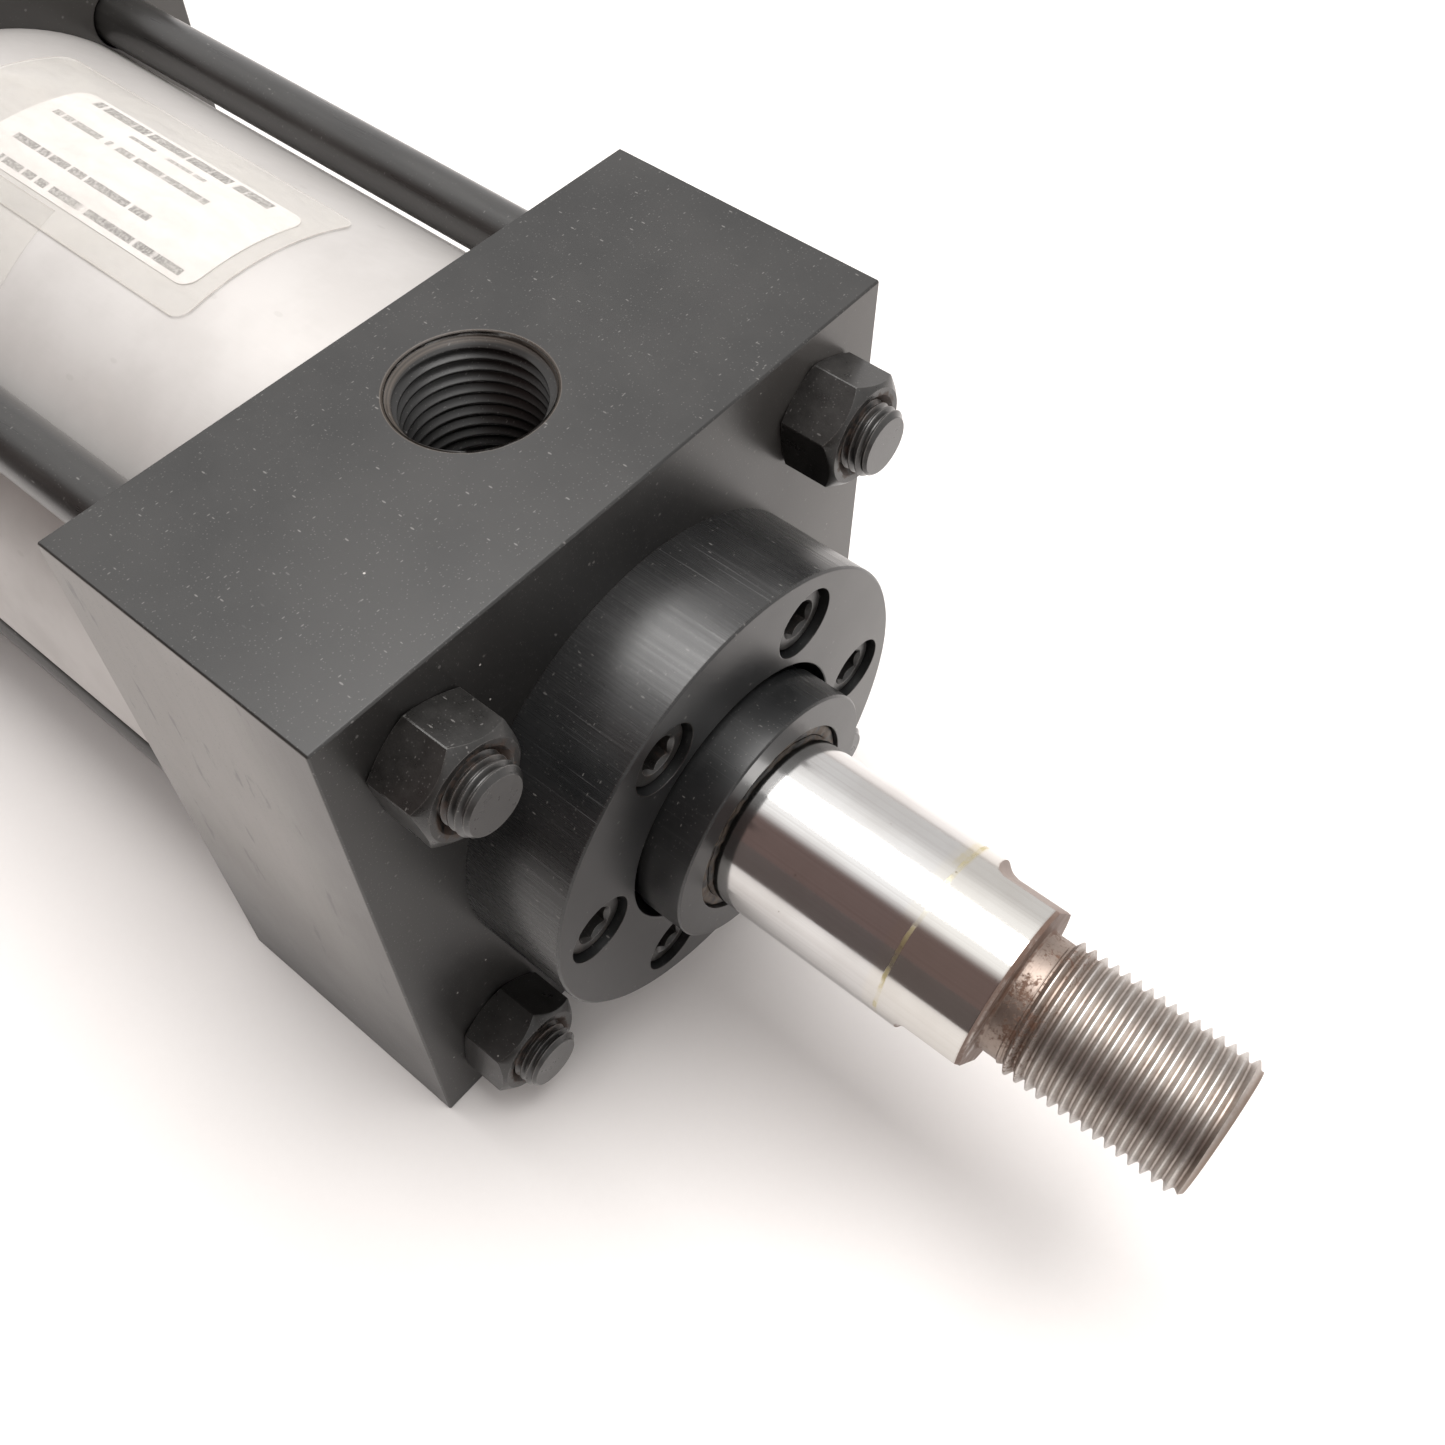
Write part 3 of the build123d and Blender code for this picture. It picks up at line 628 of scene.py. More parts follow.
def bare_steel():
    """Machined bare steel of the rod end, brown at the shoulder, in the neck and in the thread roots."""
    surface = Surface("bare_rod_steel", Metallic=1.0)
    radius = surface.radius()
    field = surface.clouds(300.0, 5.0, 0.68)
    fine = surface.clouds(1700.0, 3.0, 0.7)
    turned = surface.noise(surface.unrolled(5000.0, 5.0), 1.0, 2.0)
    in_root = surface.between(radius, ROD_THREAD_RADIUS - 0.95 * MM, ROD_THREAD_RADIUS - 0.2 * MM, 1.0, 0.0)
    in_neck = surface.band(surface.x, SHOULDER_X - 0.2 * MM, SHOULDER_X + NECK_LENGTH + 2.5 * MM, 2.0 * MM)
    shoulder_rim = surface.band(surface.x, SHOULDER_X - 0.5 * MM, SHOULDER_X + 0.3 * MM, 0.15 * MM)
    stain = surface.plus(surface.times(in_root, 0.45), surface.times(in_neck, 0.40))
    at_tip = surface.between(surface.x, ROD_HIGH.x - 2.0 * MM, ROD_HIGH.x - 0.4 * MM, 0.0, 0.5)
    blotches = surface.plus(at_tip, surface.between(field, 0.5, 0.75, 0.0, 0.25))
    stain = surface.plus(stain, blotches, use_clamp=True)
    spots = surface.plus(surface.times(fine, 0.5), surface.times(field, 0.5))
    heavy = surface.times(surface.between(spots, 0.50, 0.60), in_neck)
    heavy = surface.math("MAXIMUM", heavy, surface.times(shoulder_rim, surface.between(field, 0.3, 0.55)))
    on_flats = surface.between(surface.x, SHOULDER_X, SHOULDER_X + 0.1 * MM, 0.9, 0.0)
    flat_edge = surface.between(radius, ROD_RADIUS - 0.5 * MM, ROD_RADIUS - 0.15 * MM, 0.0, 1.0)
    far_flat = surface.between(surface.y, 0.0, MM)
    flat_dirt = surface.times(on_flats, surface.math("MAXIMUM", flat_edge, far_flat))
    heavy = surface.math("MAXIMUM", heavy, flat_dirt)
    colour = surface.mix(surface.between(fine, 0.3, 0.7), (0.57, 0.54, 0.515), (0.47, 0.445, 0.425))
    colour = surface.mix(stain, colour, (0.26, 0.20, 0.165))
    colour = surface.mix(surface.times(heavy, 0.85), colour, (0.12, 0.058, 0.034))
    surface.colour(colour)
    dull = surface.plus(surface.times(stain, 0.4), surface.times(heavy, 0.5), use_clamp=True)
    surface.feed(surface.shader.inputs["Metallic"], surface.minus(1.0, surface.times(heavy, 0.6)))
    surface.roughness(surface.between(dull, 0.0, 0.9, 0.38, 0.62))
    relief = surface.times(turned, surface.plus(1.0, surface.times(in_neck, 3.0)))
    height = surface.plus(relief, surface.plus(field, surface.times(heavy, 2.0)))
    surface.bump(height, 0.00002, 0.5)
    return surface.material


def soft_black(name, base, dirt_share):
    """Rubber or polyurethane, with pores and dried brown grease."""
    surface = Surface(name, IOR=1.5)
    field = surface.clouds(420.0, 5.0, 0.7)
    pores = surface.clouds(4000.0, 2.0, 0.6)
    dirt = surface.between(field, 0.72 - dirt_share, 0.86 - dirt_share)
    colour = surface.mix(surface.between(pores, 0.3, 0.7), grey(base, 0.0), grey(base * 1.6, 0.04))
    colour = surface.mix(surface.times(dirt, 0.8), colour, (0.115, 0.085, 0.062))
    surface.colour(add_dust(surface, colour, 0.8))
    surface.roughness(surface.between(field, 0.3, 0.8, 0.42, 0.75))
    surface.bump(surface.plus(field, surface.times(pores, 0.3)), 0.00006, 0.8)
    return surface.material


def metal_piece(name, light, dark, roughness_range):
    """Plain machined metal with turning marks, for the pieces inside."""
    surface = Surface(name, Metallic=1.0)
    rings = surface.joined_vector(surface.times(surface.x, 6000.0), surface.times(surface.radius(), 6000.0))
    marks = surface.noise(rings, 1.0, 2.0)
    patches = surface.clouds(160.0, 4.0, 0.6)
    colour = surface.mix(surface.between(patches, 0.3, 0.7), light, dark)
    surface.colour(surface.mix(surface.times(marks, 0.25), colour, dark))
    surface.roughness(surface.between(patches, 0.3, 0.7, *roughness_range))
    surface.bump(marks, 0.00001, 0.6)
    return surface.material


def wear_band_plastic():
    """Filled guide-ring plastic with mottling and rubbed lines."""
    surface = Surface("wear_band_plastic", IOR=1.5)
    mottle = surface.clouds(900.0, 4.0, 0.65)
    rubbed = surface.noise(surface.stretched(12.0, 1.0, 1.0), 220.0, 3.0, 0.6)
    colour = surface.mix(surface.between(mottle, 0.3, 0.7), (0.16, 0.11, 0.05), (0.24, 0.17, 0.09))
    rubbed = surface.between(rubbed, 0.55, 0.75, 0.0, 0.4)
    surface.colour(surface.mix(rubbed, colour, (0.09, 0.065, 0.04)))
    surface.roughness(surface.between(mottle, 0.3, 0.7, 0.42, 0.6))
    surface.bump(mottle, 0.00002, 0.5)
    return surface.material


# Rows of plain grey bars on the label: (angle in degrees, height in degrees, low x, high x, darkness)
LABEL_ROWS = (
    (75.3, 1.9, -115.6, -76.6, 1.0),
    (78.6, 0.7, -104.0, -87.5, 0.85),
    (83.0, 1.3, -117.4, -82.6, 0.90),
    (92.5, 1.4, -115.6, -85.5, 0.90),
    (98.0, 1.4, -113.6, -73.5, 0.95),
)


def label_face():
    """White label stock, slightly mottled, printed with broken grey bars that say nothing."""
    surface = Surface("printed_label", IOR=1.45)
    degrees = surface.times(surface.turns(), 360.0)
    millimetres = surface.math("DIVIDE", surface.x, MM)
    mottle = surface.clouds(700.0, 3.0, 0.6)
    ink = None
    for row, (centre, height, low, high, darkness) in enumerate(LABEL_ROWS):
        line = surface.band(degrees, centre - height / 2, centre + height / 2, 0.18)
        reach = surface.band(millimetres, low, high, 0.3)
        words = surface.noise(surface.joined_vector(surface.times(millimetres, 0.42), 7.3 * row), 1.0, 1.0)
        grain = surface.joined_vector(surface.times(millimetres, 2.1), surface.times(degrees, 1.3))
        strokes = surface.between(surface.noise(grain, 1.0, 2.0), 0.36, 0.60, 0.6, 1.0)
        broken = surface.times(surface.between(words, 0.38, 0.44), strokes)
        bar = surface.times(surface.times(line, reach), surface.times(broken, darkness))
        ink = bar if ink is None else surface.math("MAXIMUM", ink, bar)
    paper = surface.mix(surface.between(mottle, 0.3, 0.7), (0.64, 0.61, 0.595), (0.61, 0.58, 0.565))
    surface.colour(surface.mix(ink, paper, (0.055, 0.051, 0.049)))
    surface.roughness(surface.between(mottle, 0.3, 0.7, 0.35, 0.5))
    surface.bump(surface.minus(mottle, ink), 0.00001, 0.3)
    return surface.material


def clear_film(name, x_range, angle_range):
    """Aged clear tape: hardly visible, with a faint yellow cast, wrinkles and dirt held along its edges."""
    surface = Surface(name, IOR=1.45)
    degrees = surface.times(surface.turns(), 360.0)
    millimetres = surface.math("DIVIDE", surface.x, MM)
    wrinkles = surface.noise(surface.stretched(1.0, 3.0, 3.0), 90.0, 4.0, 0.6)
    inside_x = surface.band(millimetres, x_range[0] + 0.3, x_range[1] - 0.3, 0.25)
    inside_angle = surface.band(degrees, angle_range[0] + 0.4, angle_range[1] - 0.4, 0.3)
    edge = surface.minus(1.0, surface.times(inside_x, inside_angle))
    surface.colour(surface.mix(edge, (0.68, 0.655, 0.61), (0.50, 0.465, 0.42)))
    film = surface.between(wrinkles, 0.3, 0.75, 0.12, 0.24)
    surface.feed(surface.shader.inputs["Alpha"], surface.plus(film, surface.times(edge, 0.2)))
    surface.roughness(surface.between(wrinkles, 0.3, 0.7, 0.14, 0.28))
    surface.bump(wrinkles, 0.0001, 0.35)
    return surface.material


def finish(material, *nodes):
    """Puts a material on every slot of CAD nodes."""
    for node in nodes:
        for material_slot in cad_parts[node].material_slots:
            material_slot.material = material


# -------------------------------- pieces

def flat_columns(per_flat=24, per_side=60):
    """Column angles for the rod, with a column along each edge of each wrench flat."""
    half = math.acos(FLAT_DISTANCE / ROD_RADIUS)
    first, second = FLAT_ANGLES
    stretches = (
        (first - half, first + half, per_flat),
        (first + half, second - half, per_side),
        (second - half, second + half, per_flat),
        (second + half, first - half + FULL_TURN, per_side),
    )
    angles = [np.linspace(low, high, count, endpoint=False) for low, high, count in stretches]
    return np.append(np.concatenate(angles), first - half + FULL_TURN)


def from_flat_normal(angle):
    """Angle from the nearer wrench flat's normal."""
    return (angle - FLAT_ANGLES[0] + math.pi / 2) % math.pi - math.pi / 2


def flat_rows(angle):
    """Grid rows from the start of the wrench flats to the shoulder. The first follows the cutter's edge."""
    start = SHOULDER_X - FLAT_LENGTH
    cutter = FLAT_CUTTER_RADIUS
    lean = from_flat_normal(angle)
    on_flat = np.abs(lean) < math.acos(FLAT_DISTANCE / ROD_RADIUS) + 1e-6
    reach = np.clip(FLAT_DISTANCE + cutter - ROD_RADIUS * np.cos(lean), 0, cutter)
    edge = np.where(on_flat, cutter - np.sqrt(cutter**2 - reach**2), cutter)
    rows = []
    for share in np.linspace(0, 1, 8):
        run = edge + (cutter - edge) * share
        distance = FLAT_DISTANCE + cutter - np.sqrt(np.maximum(cutter**2 - (cutter - run) ** 2, 0))
        radius = np.where(on_flat, np.minimum(distance / np.cos(lean), ROD_RADIUS), ROD_RADIUS)
        rows.append(turned_points(start + run, radius, angle))
    flat = np.where(on_flat, FLAT_DISTANCE / np.cos(lean), ROD_RADIUS)
    chamfer_start = SHOULDER_X - SHOULDER_CHAMFER
    for x in along_x(start + cutter + MM, chamfer_start, 2 * MM):
        rows.append(turned_points(x, flat, angle))
    for share in (0.35, 0.7, 1.0):
        x = chamfer_start + share * SHOULDER_CHAMFER
        trimmed = np.minimum(flat, ROD_RADIUS - share * SHOULDER_CHAMFER)
        rows.append(turned_points(x, trimmed, angle))
    rows.append(turned_points(SHOULDER_X, trimmed - 0.1 * MM, angle))
    return rows


def piston_rod():
    """The rod, with its stub for the piston, wrench flats, neck and cut thread."""
    angle = flat_columns()
    stub_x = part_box("piston_nut")[1].x
    piston_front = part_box("piston")[1].x
    o_ring_low, o_ring_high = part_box("piston_o_ring")
    groove = (o_ring_low.x - 0.1 * MM, o_ring_high.x + 0.1 * MM)
    stub_thread = (7.25 * MM, 8.0 * MM)
    groove_floor = stub_thread[1] - 1.35 * MM
    inner = eased((
        (ROD_LOW.x, 0.0),
        (ROD_LOW.x, stub_thread[0] - 0.4 * MM),
        (ROD_LOW.x + 0.4 * MM, stub_thread[0]),
        (stub_x, stub_thread[0]),
        (stub_x, stub_thread[1]),
        (groove[0], stub_thread[1]),
        (groove[0], groove_floor),
        (groove[1], groove_floor),
        (groove[1], stub_thread[1]),
        (piston_front, stub_thread[1]),
        (piston_front, ROD_RADIUS),
        (piston_front + 4 * MM, ROD_RADIUS),
    ), 0.1 * MM, 1)
    rows = rows_of(inner, angle)
    flats_start = SHOULDER_X - FLAT_LENGTH
    plain = along_x(piston_front + 8 * MM, flats_start - MM, 3 * MM)
    rows += rows_of([(x, ROD_RADIUS) for x in plain], angle)
    rows += flat_rows(angle)
    thread_start = SHOULDER_X + NECK_LENGTH
    full_start = thread_start + ROD_THREAD_RADIUS - NECK_RADIUS
    rows += rows_of(eased((
        (SHOULDER_X, FLAT_DISTANCE - 0.3 * MM),
        (SHOULDER_X, NECK_RADIUS),
        (thread_start - 0.2 * MM, NECK_RADIUS),
    ), 0.5 * MM, 4), angle)

    crest = ROD_THREAD_RADIUS
    root = crest - THREAD_DEPTH * ROD_THREAD_PITCH
    tip = crest - ROD_TIP_CHAMFER
    places = (thread_start, full_start, ROD_HIGH.x - ROD_TIP_CHAMFER, ROD_HIGH.x)
    trim = no_larger(places, (NECK_RADIUS, crest, crest, tip))
    rows += thread_rows(thread_start, ROD_HIGH.x, ROD_THREAD_PITCH, root, crest, trim, angle)
    rows += rows_of([(ROD_HIGH.x, tip - 0.15 * MM), (ROD_HIGH.x, tip / 2), (ROD_HIGH.x, 0.0)], angle)

    def plated(face):
        centre = face.calc_center_median()
        on_rod = piston_front < centre.x < SHOULDER_X - SHOULDER_CHAMFER
        return 0 if on_rod and math.hypot(centre.y, centre.z) > ROD_RADIUS - 0.02 * MM else 1

    return add_piece("piston_rod_threaded", grid_mesh(np.array(rows)), "rod",
                     [hard_chrome(), bare_steel()], ["piston_rod"], plated)


def tie_rod(corner, material):
    """A tie rod: a smooth shank with a cut thread at both ends."""
    angle = even_angles(96)
    low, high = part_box(f"tie_rod_{corner}")
    crest = TIE_ROD_THREAD_RADIUS
    root = crest - THREAD_DEPTH * TIE_ROD_PITCH
    tip = crest - TIE_ROD_TIP_CHAMFER
    back_end = low.x + TIE_ROD_THREAD_LENGTH
    front_start = high.x - TIE_ROD_THREAD_LENGTH

    runout = 0.6 * MM
    rows = rows_of([(low.x, 0.0), (low.x, tip - 0.15 * MM)], angle)
    places = (low.x, low.x + TIE_ROD_TIP_CHAMFER, back_end - runout, back_end)
    trim = no_larger(places, (tip, crest, crest, root))
    rows += thread_rows(low.x, back_end, TIE_ROD_PITCH, root, crest, trim, angle)
    shank = along_x(back_end + runout, front_start - runout, 8 * MM)
    rows += rows_of([(x, TIE_ROD_SHANK_RADIUS) for x in shank], angle)
    places = (front_start, front_start + runout, high.x - TIE_ROD_TIP_CHAMFER, high.x)
    trim = no_larger(places, (root, crest, crest, tip))
    rows += thread_rows(front_start, high.x, TIE_ROD_PITCH, root, crest, trim, angle)
    rows += rows_of([(high.x, tip - 0.15 * MM), (high.x, 0.0)], angle)
    grid = grid_mesh(np.array(rows))
    bmesh.ops.transform(grid, matrix=place(corner), verts=grid.verts)
    node = f"tie_rod_{corner}"
    return add_piece(f"{node}_threaded", grid, "barrel", [material], [node])


def nut():
    """A hexagon nut seated at x = 0, facing +X, with a washer face, worn corners and chamfered edges."""
    land = 0.05 * MM
    ease = 0.07 * MM
    angle = hexagon_angles(NUT_FLAT_DISTANCE, land)
    outline = hexagon_radius(NUT_FLAT_DISTANCE, angle, land)
    slope = NUT_CHAMFER / (NUT_FLAT_DISTANCE / math.cos(FULL_TURN / 12) - NUT_FACE_RADIUS)
    edge_x = NUT_THICKNESS - (outline - NUT_FACE_RADIUS) * slope
    foot_x = 0.35 * (outline - NUT_FLAT_DISTANCE) + 0.05 * MM
    lead = NUT_BORE_RADIUS + NUT_LEAD
    bore = eased((
        (0.0, NUT_FLAT_DISTANCE - 0.4 * MM),
        (0.0, lead),
        (NUT_LEAD, NUT_BORE_RADIUS),
        (NUT_THICKNESS - NUT_LEAD, NUT_BORE_RADIUS),
        (NUT_THICKNESS, lead),
        (NUT_THICKNESS, NUT_FACE_RADIUS),
    ), 0.08 * MM)
    rows = rows_of(bore, angle)
    rows.append(turned_points(edge_x + ease * slope, outline - ease, angle))
    rows.append(turned_points(edge_x - ease, outline, angle))
    rows.append(turned_points(foot_x + ease, outline, angle))
    rows.append(turned_points(foot_x - 0.04 * MM, outline - ease, angle))
    rows.append(rows[0])
    return grid_mesh(np.array(rows))


def nut_group(name, seat_x, facing, material, node):
    """The four nuts on one end block."""
    one = nut()
    parts = []
    for corner in CORNERS:
        turn = math.radians(NUT_TURNS[corner] * facing)
        spin = Matrix.Rotation(turn, 4, "X")
        half_turn = Matrix.Rotation(0.0 if facing > 0 else math.pi, 4, "Z")
        parts.append((one, place(corner) @ Matrix.Translation((seat_x, 0, 0)) @ half_turn @ spin))
    group = joined(parts)
    one.free()
    return add_piece(name, group, "barrel", [material], [node])


def socket_screw():
    """A socket-head cap screw on the X axis: knurled head, hexagon socket and shank."""
    angle = hexagon_angles(SCREW_SOCKET_DISTANCE, 0.02 * MM, 23) + SCREW_SOCKET_TURN
    head_front = SCREWS_HIGH.x
    head_back = head_front - SCREW_HEAD_HEIGHT
    floor_x = head_front - SCREW_SOCKET_DEPTH
    socket = hexagon_radius(SCREW_SOCKET_DISTANCE, angle - SCREW_SOCKET_TURN, 0.02 * MM)
    corner = SCREW_SOCKET_DISTANCE / math.cos(FULL_TURN / 12)
    rows = rows_of([(floor_x - 0.7 * MM, 0.0), (floor_x - 0.05 * MM, 0.8 * SCREW_SOCKET_DISTANCE)], angle)
    rows.append(turned_points(floor_x, socket, angle))
    rows.append(turned_points(head_front - 0.1 * MM - (corner + 0.15 * MM - socket), socket, angle))
    rows += rows_of([(head_front, corner + 0.15 * MM)], angle)
    rows += rows_of((
        (head_front, SCREW_HEAD_RADIUS - 0.55 * MM),
        (head_front - 0.12 * MM, SCREW_HEAD_RADIUS - 0.25 * MM),
    ), angle)
    knurl = 0.07 * MM * (0.5 + 0.5 * np.cos(angle * 48))
    for x, share in ((head_front - 0.5 * MM, 0.5), (head_front - 0.8 * MM, 1.0), (head_back + 0.8 * MM, 1.0)):
        rows.append(turned_points(x, SCREW_HEAD_RADIUS - share * knurl, angle))
    rows += rows_of((
        (head_back, SCREW_HEAD_RADIUS - 0.15 * MM),
        (head_back, SCREW_SHANK_RADIUS),
        (SCREWS_LOW.x + 0.5 * MM, SCREW_SHANK_RADIUS),
        (SCREWS_LOW.x, SCREW_SHANK_RADIUS - 0.5 * MM),
        (SCREWS_LOW.x, 0.0),
    ), angle)
    return grid_mesh(np.array(rows))


def retainer_screws(material):
    screw = socket_screw()
    outward = Matrix.Translation((0, SCREW_CIRCLE_RADIUS, 0))
    spins = [Matrix.Rotation(turn * FULL_TURN / SCREW_COUNT, 4, "X") for turn in range(SCREW_COUNT)]
    group = joined([(screw, spin @ outward) for spin in spins])
    screw.free()
    name = "retainer_screws_knurled"
    return add_piece(name, group, "barrel", [material], ["retainer_screws"])


def port_thread(name, port_x, material):
    """The tapered thread inside a port, as a lining of its bore."""
    angle = even_angles(120)
    wall = PORT_BORE_RADIUS - PORT_WALL_GAP

    def trim(x, radius):
        depth = PORT_DEPTH - x
        height = (radius - PORT_CREST_RADIUS) / (PORT_ROOT_RADIUS - PORT_CREST_RADIUS)
        tapered = radius - depth * NPT_TAPER * height
        countersink = PORT_BORE_RADIUS - (depth - PORT_LEAD)
        return np.minimum(np.maximum(tapered, countersink), wall)

    rows = thread_rows(0.0, PORT_DEPTH, PORT_PITCH, PORT_ROOT_RADIUS, PORT_CREST_RADIUS, trim, angle)
    rows += rows_of([(PORT_DEPTH, wall), (0.0, wall)], angle)
    rows.append(rows[0])
    grid = grid_mesh(np.array(rows))
    upright = Matrix.Rotation(-math.pi / 2, 4, "Y")
    seat = Matrix.Translation((port_x, 0, HEAD_HIGH.z - PORT_DEPTH))
    bmesh.ops.transform(grid, matrix=seat @ upright, verts=grid.verts)
    return add_piece(name, grid, "barrel", [material])


def rod_wiper(material):
    """The wiper ring. Its lip is chewed and carries lumps of dried grease."""
    rng = np.random.default_rng(11)
    angle = even_angles(240)
    inner = ROD_RADIUS + 0.05 * MM
    outer = WIPER_HIGH.z
    lip_x = WIPER_HIGH.x
    shoulder_x = lip_x - 0.5 * MM
    outline = eased((
        (WIPER_LOW.x, inner + 0.6 * MM),
        (WIPER_LOW.x, outer),
        (shoulder_x, outer),
        (shoulder_x + 0.3 * MM, outer - 0.3 * MM),
        (lip_x - 0.12 * MM, inner + 0.55 * MM),
        (lip_x - 0.25 * MM, inner),
        (shoulder_x, inner),
        (WIPER_LOW.x, inner + 0.6 * MM),
    ), 0.12 * MM, 2)
    lumps = np.zeros_like(angle)
    for order in range(9, 46, 3):
        size = rng.uniform(0.3, 1.0) / order
        lumps += size * np.cos(order * angle + rng.uniform(0, FULL_TURN))
    lumps = np.clip(lumps / np.abs(lumps).max(), -0.6, 1.0)
    rows = []
    for x, radius in outline:
        exposed = np.clip((x - shoulder_x) / (lip_x - shoulder_x), 0, 1)
        shift = 0.22 * MM * exposed * lumps
        rows.append(turned_points(np.minimum(x + shift, lip_x), radius, angle))
    grid = grid_mesh(np.array(rows))
    return add_piece("rod_wiper_worn", grid, "barrel", [material], ["rod_wiper"])


def tape_strip(material):
    """A second strip of clear tape that runs from the label's tape down the tube's right side."""
    angles = np.radians(np.linspace(*STRIP_ANGLES, 40))
    inner = TUBE_RADIUS + 0.04 * MM
    outer = inner + 0.07 * MM
    share = np.linspace(0, 1, 40)
    seam = -97.9 * MM + 3.3 * MM * share * (1.2 - 0.2 * share)
    start = TAPE_X[0] * MM
    sheet = bmesh.new()
    columns = []
    for across in np.linspace(0, 1, 12):
        x = start + (seam - start) * across
        columns.append([turned_points(x, radius, angles) for radius in (inner, outer)])
    loop = [inside for inside, outside in columns] + [outside for inside, outside in reversed(columns)]
    loop.append(loop[0])
    grid = np.array(loop)
    rows, count = grid.shape[:2]
    vertices = [[sheet.verts.new(point) for point in row] for row in grid[:-1].tolist()]
    vertices.append(vertices[0])
    for row in range(rows - 1):
        for column in range(count - 1):
            sheet.faces.new((vertices[row][column], vertices[row][column + 1],
                             vertices[row + 1][column + 1], vertices[row + 1][column]))
    for column in (0, count - 1):
        for row in range(len(columns) - 1):
            opposite = 2 * len(columns) - 1 - row
            sheet.faces.new((vertices[row][column], vertices[row + 1][column],
                             vertices[opposite - 1][column], vertices[opposite][column]))
    bmesh.ops.recalc_face_normals(sheet, faces=sheet.faces)
    return add_piece("tape_strip", sheet, "barrel", [material])


# -------------------------------- studio

def camera():
    """The camera at the photographed angle, looking down on the rod end from its right."""
    data = bpy.data.cameras.new("camera")
    data.lens = 36.37
    data.sensor_width = 36.0
    data.clip_start = 0.01
    eye = Vector((0.0817213, -0.0832243, 0.1665579))
    target = Vector((0.0072, 0.0078, 0.0))
    item = new_object("camera", data)
    roll = Quaternion((0, 0, 1), math.radians(0.387))
    item.rotation_mode = "QUATERNION"
    item.rotation_quaternion = (target - eye).to_track_quat("-Z", "Y") @ roll
    item.location = eye
    bpy.context.scene.camera = item


def stage_board(name, corners, material):
    mesh = bpy.data.meshes.new(name)
    mesh.from_pydata(corners, [], [(0, 1, 2, 3)])
    mesh.materials.append(material)
    board = new_object(name, mesh)
    return board


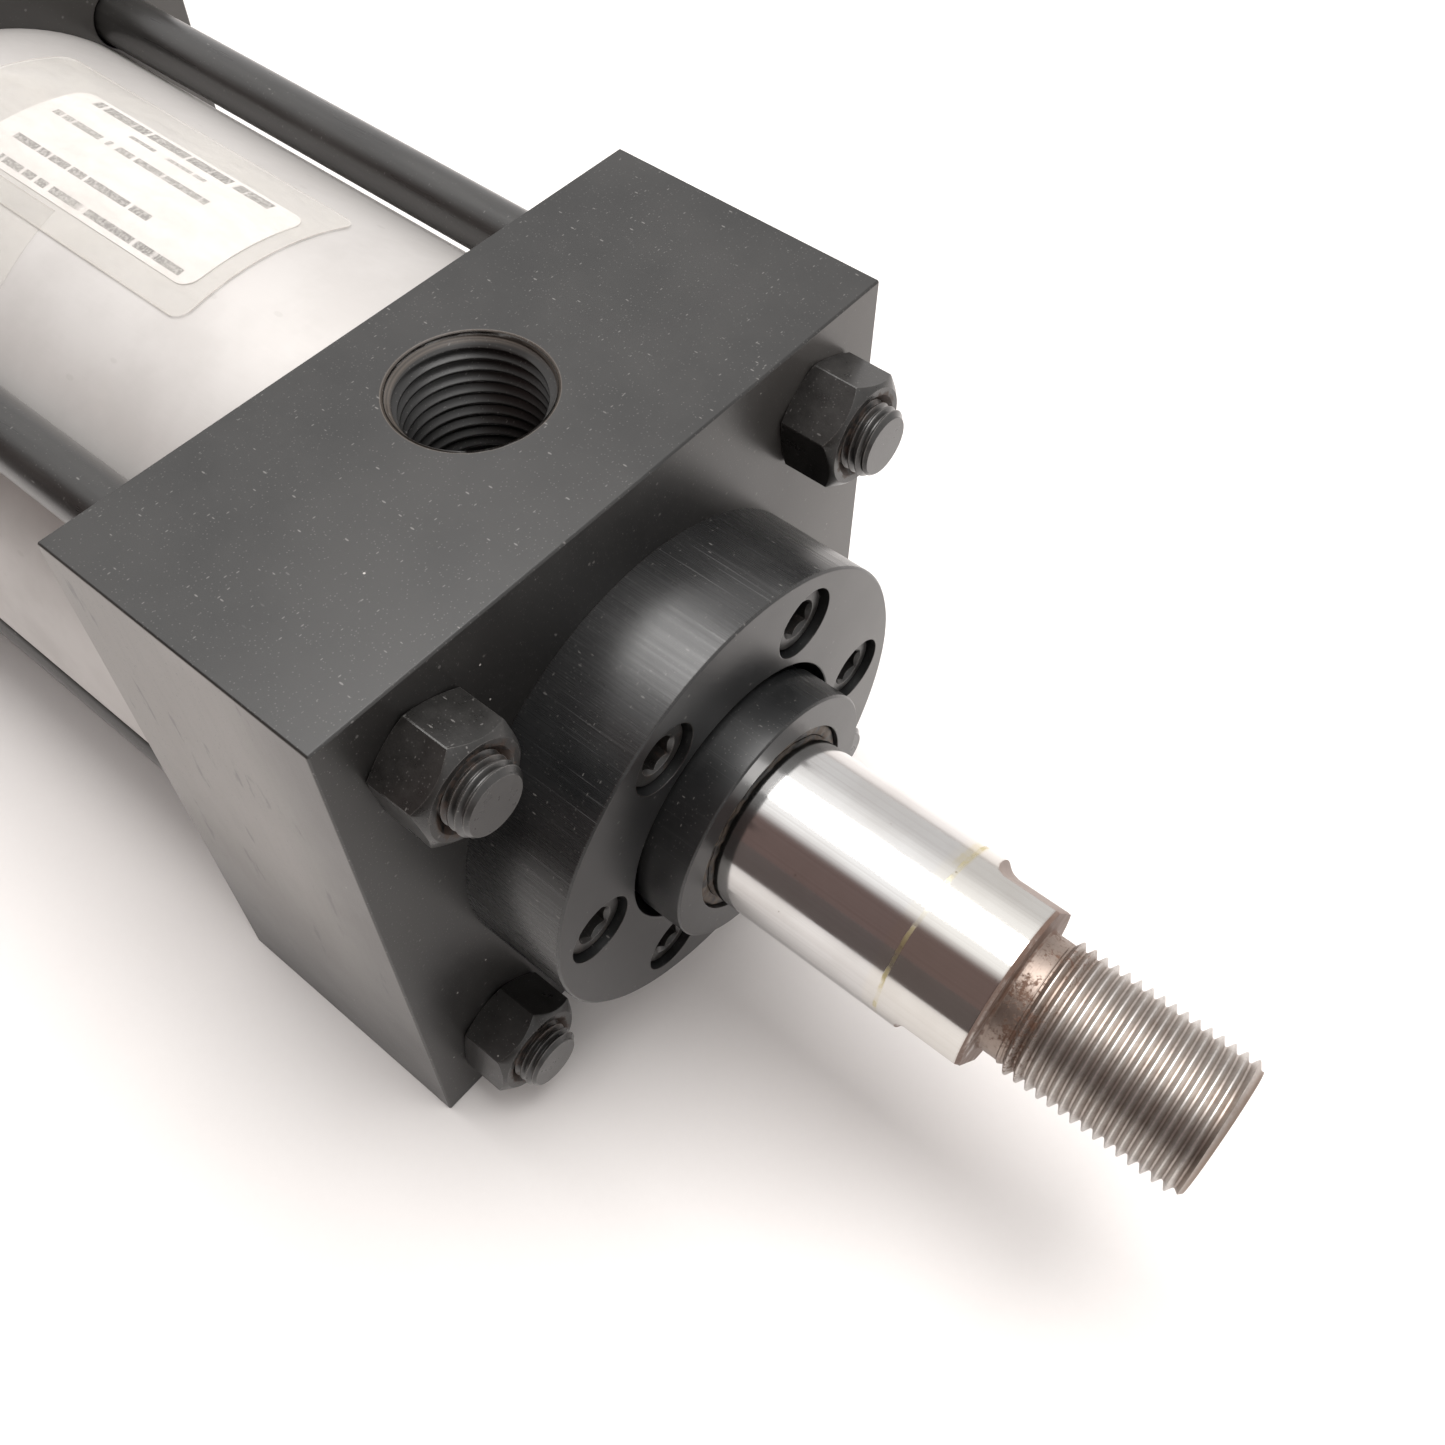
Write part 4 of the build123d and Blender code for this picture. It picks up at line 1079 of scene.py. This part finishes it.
def studio():
    """A pale floor, a light tent that is open and dark on the -Y side, and one large soft light overhead."""
    paper = Surface("floor_paper")
    fibres = paper.clouds(900.0, 4.0, 0.6)
    tone = paper.clouds(14.0, 3.0, 0.5)
    colour = paper.mix(paper.between(tone, 0.3, 0.7), (0.83, 0.805, 0.79), (0.80, 0.77, 0.755))
    paper.colour(paper.mix(paper.times(fibres, 0.06), colour, (0.6, 0.58, 0.56)))
    paper.roughness(paper.between(fibres, 0.3, 0.7, 0.65, 0.8))
    paper.bump(fibres, 0.00003, 0.2)
    reach = 3.0
    corners = ((-reach, -reach), (reach, -reach), (reach, reach), (-reach, reach))
    stage_board("floor", [(x, y, FLOOR_Z) for x, y in corners], paper.material)

    cardboard = Surface("cardboard")
    pulp = cardboard.clouds(120.0, 4.0, 0.6)
    cardboard.colour(cardboard.mix(pulp, (0.080, 0.064, 0.061), (0.112, 0.090, 0.085)))
    cardboard.roughness(0.8)
    corners = ((-0.9, FLOOR_Z), (0.9, FLOOR_Z), (0.9, 0.10), (-0.9, 0.10))
    card = stage_board("brown_card", [(x, -0.26, z) for x, z in corners], cardboard.material)
    card.visible_camera = False

    light = bpy.data.lights.new("overhead_softbox", "AREA")
    light.shape = "RECTANGLE"
    light.size = 0.60
    light.size_y = 0.36
    radiance = 6.0
    light.energy = radiance * math.pi * light.size * light.size_y
    light.color = (1.0, 0.985, 0.97)
    new_object("overhead_softbox", light).location = (-0.05, 0.09, 0.60)

    world = bpy.data.worlds.new("tent")
    world.use_nodes = True
    bpy.context.scene.world = world
    sky = Nodes(world.node_tree)
    direction = sky.add("ShaderNodeTexCoord").outputs["Generated"]
    across, up = sky.add("ShaderNodeSeparateXYZ", direction).outputs[1:]
    tent = sky.mix(sky.between(up, 0.45, 0.85), (0.94, 0.92, 0.91), (1.45, 1.43, 1.41))
    room = sky.mix(sky.between(across, -0.56, -0.32), (0.215, 0.152, 0.139), tent)
    seen_direct = sky.add("ShaderNodeLightPath").outputs["Is Camera Ray"]
    seen = sky.mix(seen_direct, room, (0.86, 0.85, 0.84))
    sky.feed(sky.tree.nodes["Background"].inputs["Color"], seen)


camera()
studio()
bpy.context.scene.view_settings.view_transform = "Standard"

block_black = black_anodised()
finish(block_black, "head", "cap")
finish(black_turned("black_anodised_retainer", 1.0, RETAINER_HIGH.z), "gland_retainer")
finish(black_turned("black_anodised_gland", 0.3, 0.75 * INCH), "gland_cartridge")
finish(tube_alloy(), "tube")
finish(label_face(), "label")
finish(clear_film("clear_tape_film", TAPE_X, TAPE_ANGLES), "label_tape")
seal_rubber = soft_black("seal_rubber", 0.012, 0.05)
finish(seal_rubber, "gland_o_ring", "rod_seal", "head_tube_seal", "cap_tube_seal", "piston_o_ring")
finish(seal_rubber, "piston_seal_front", "piston_seal_back", "piston_bumper_front", "piston_bumper_back")
bronze = metal_piece("bearing_bronze", (0.62, 0.42, 0.22), (0.42, 0.26, 0.13), (0.25, 0.4))
finish(bronze, "rod_bearing")
alloy = metal_piece("piston_alloy", (0.78, 0.77, 0.75), (0.62, 0.61, 0.60), (0.28, 0.42))
finish(alloy, "piston")
steel = metal_piece("plain_steel", (0.5, 0.49, 0.47), (0.36, 0.35, 0.34), (0.3, 0.45))
finish(steel, "piston_nut")
finish(wear_band_plastic(), "piston_wear_band")

piston_rod()
stud_black = stud_oxide()
nut_black = nut_oxide()
for corner in CORNERS:
    tie_rod(corner, stud_black)
nut_group("head_nuts_chamfered", HEAD_HIGH.x, 1, nut_black, "head_nuts")
nut_group("cap_nuts_chamfered", CAP_LOW.x, -1, nut_black, "cap_nuts")
retainer_screws(screw_oxide())
port_thread("head_port_thread", HEAD_PORT_X, block_black)
port_thread("cap_port_thread", CAP_PORT_X, block_black)
rod_wiper(soft_black("wiper_rubber", 0.010, 0.30))
tape_strip(clear_film("clear_tape_strip", (-140.0, -60.0), STRIP_ANGLES))
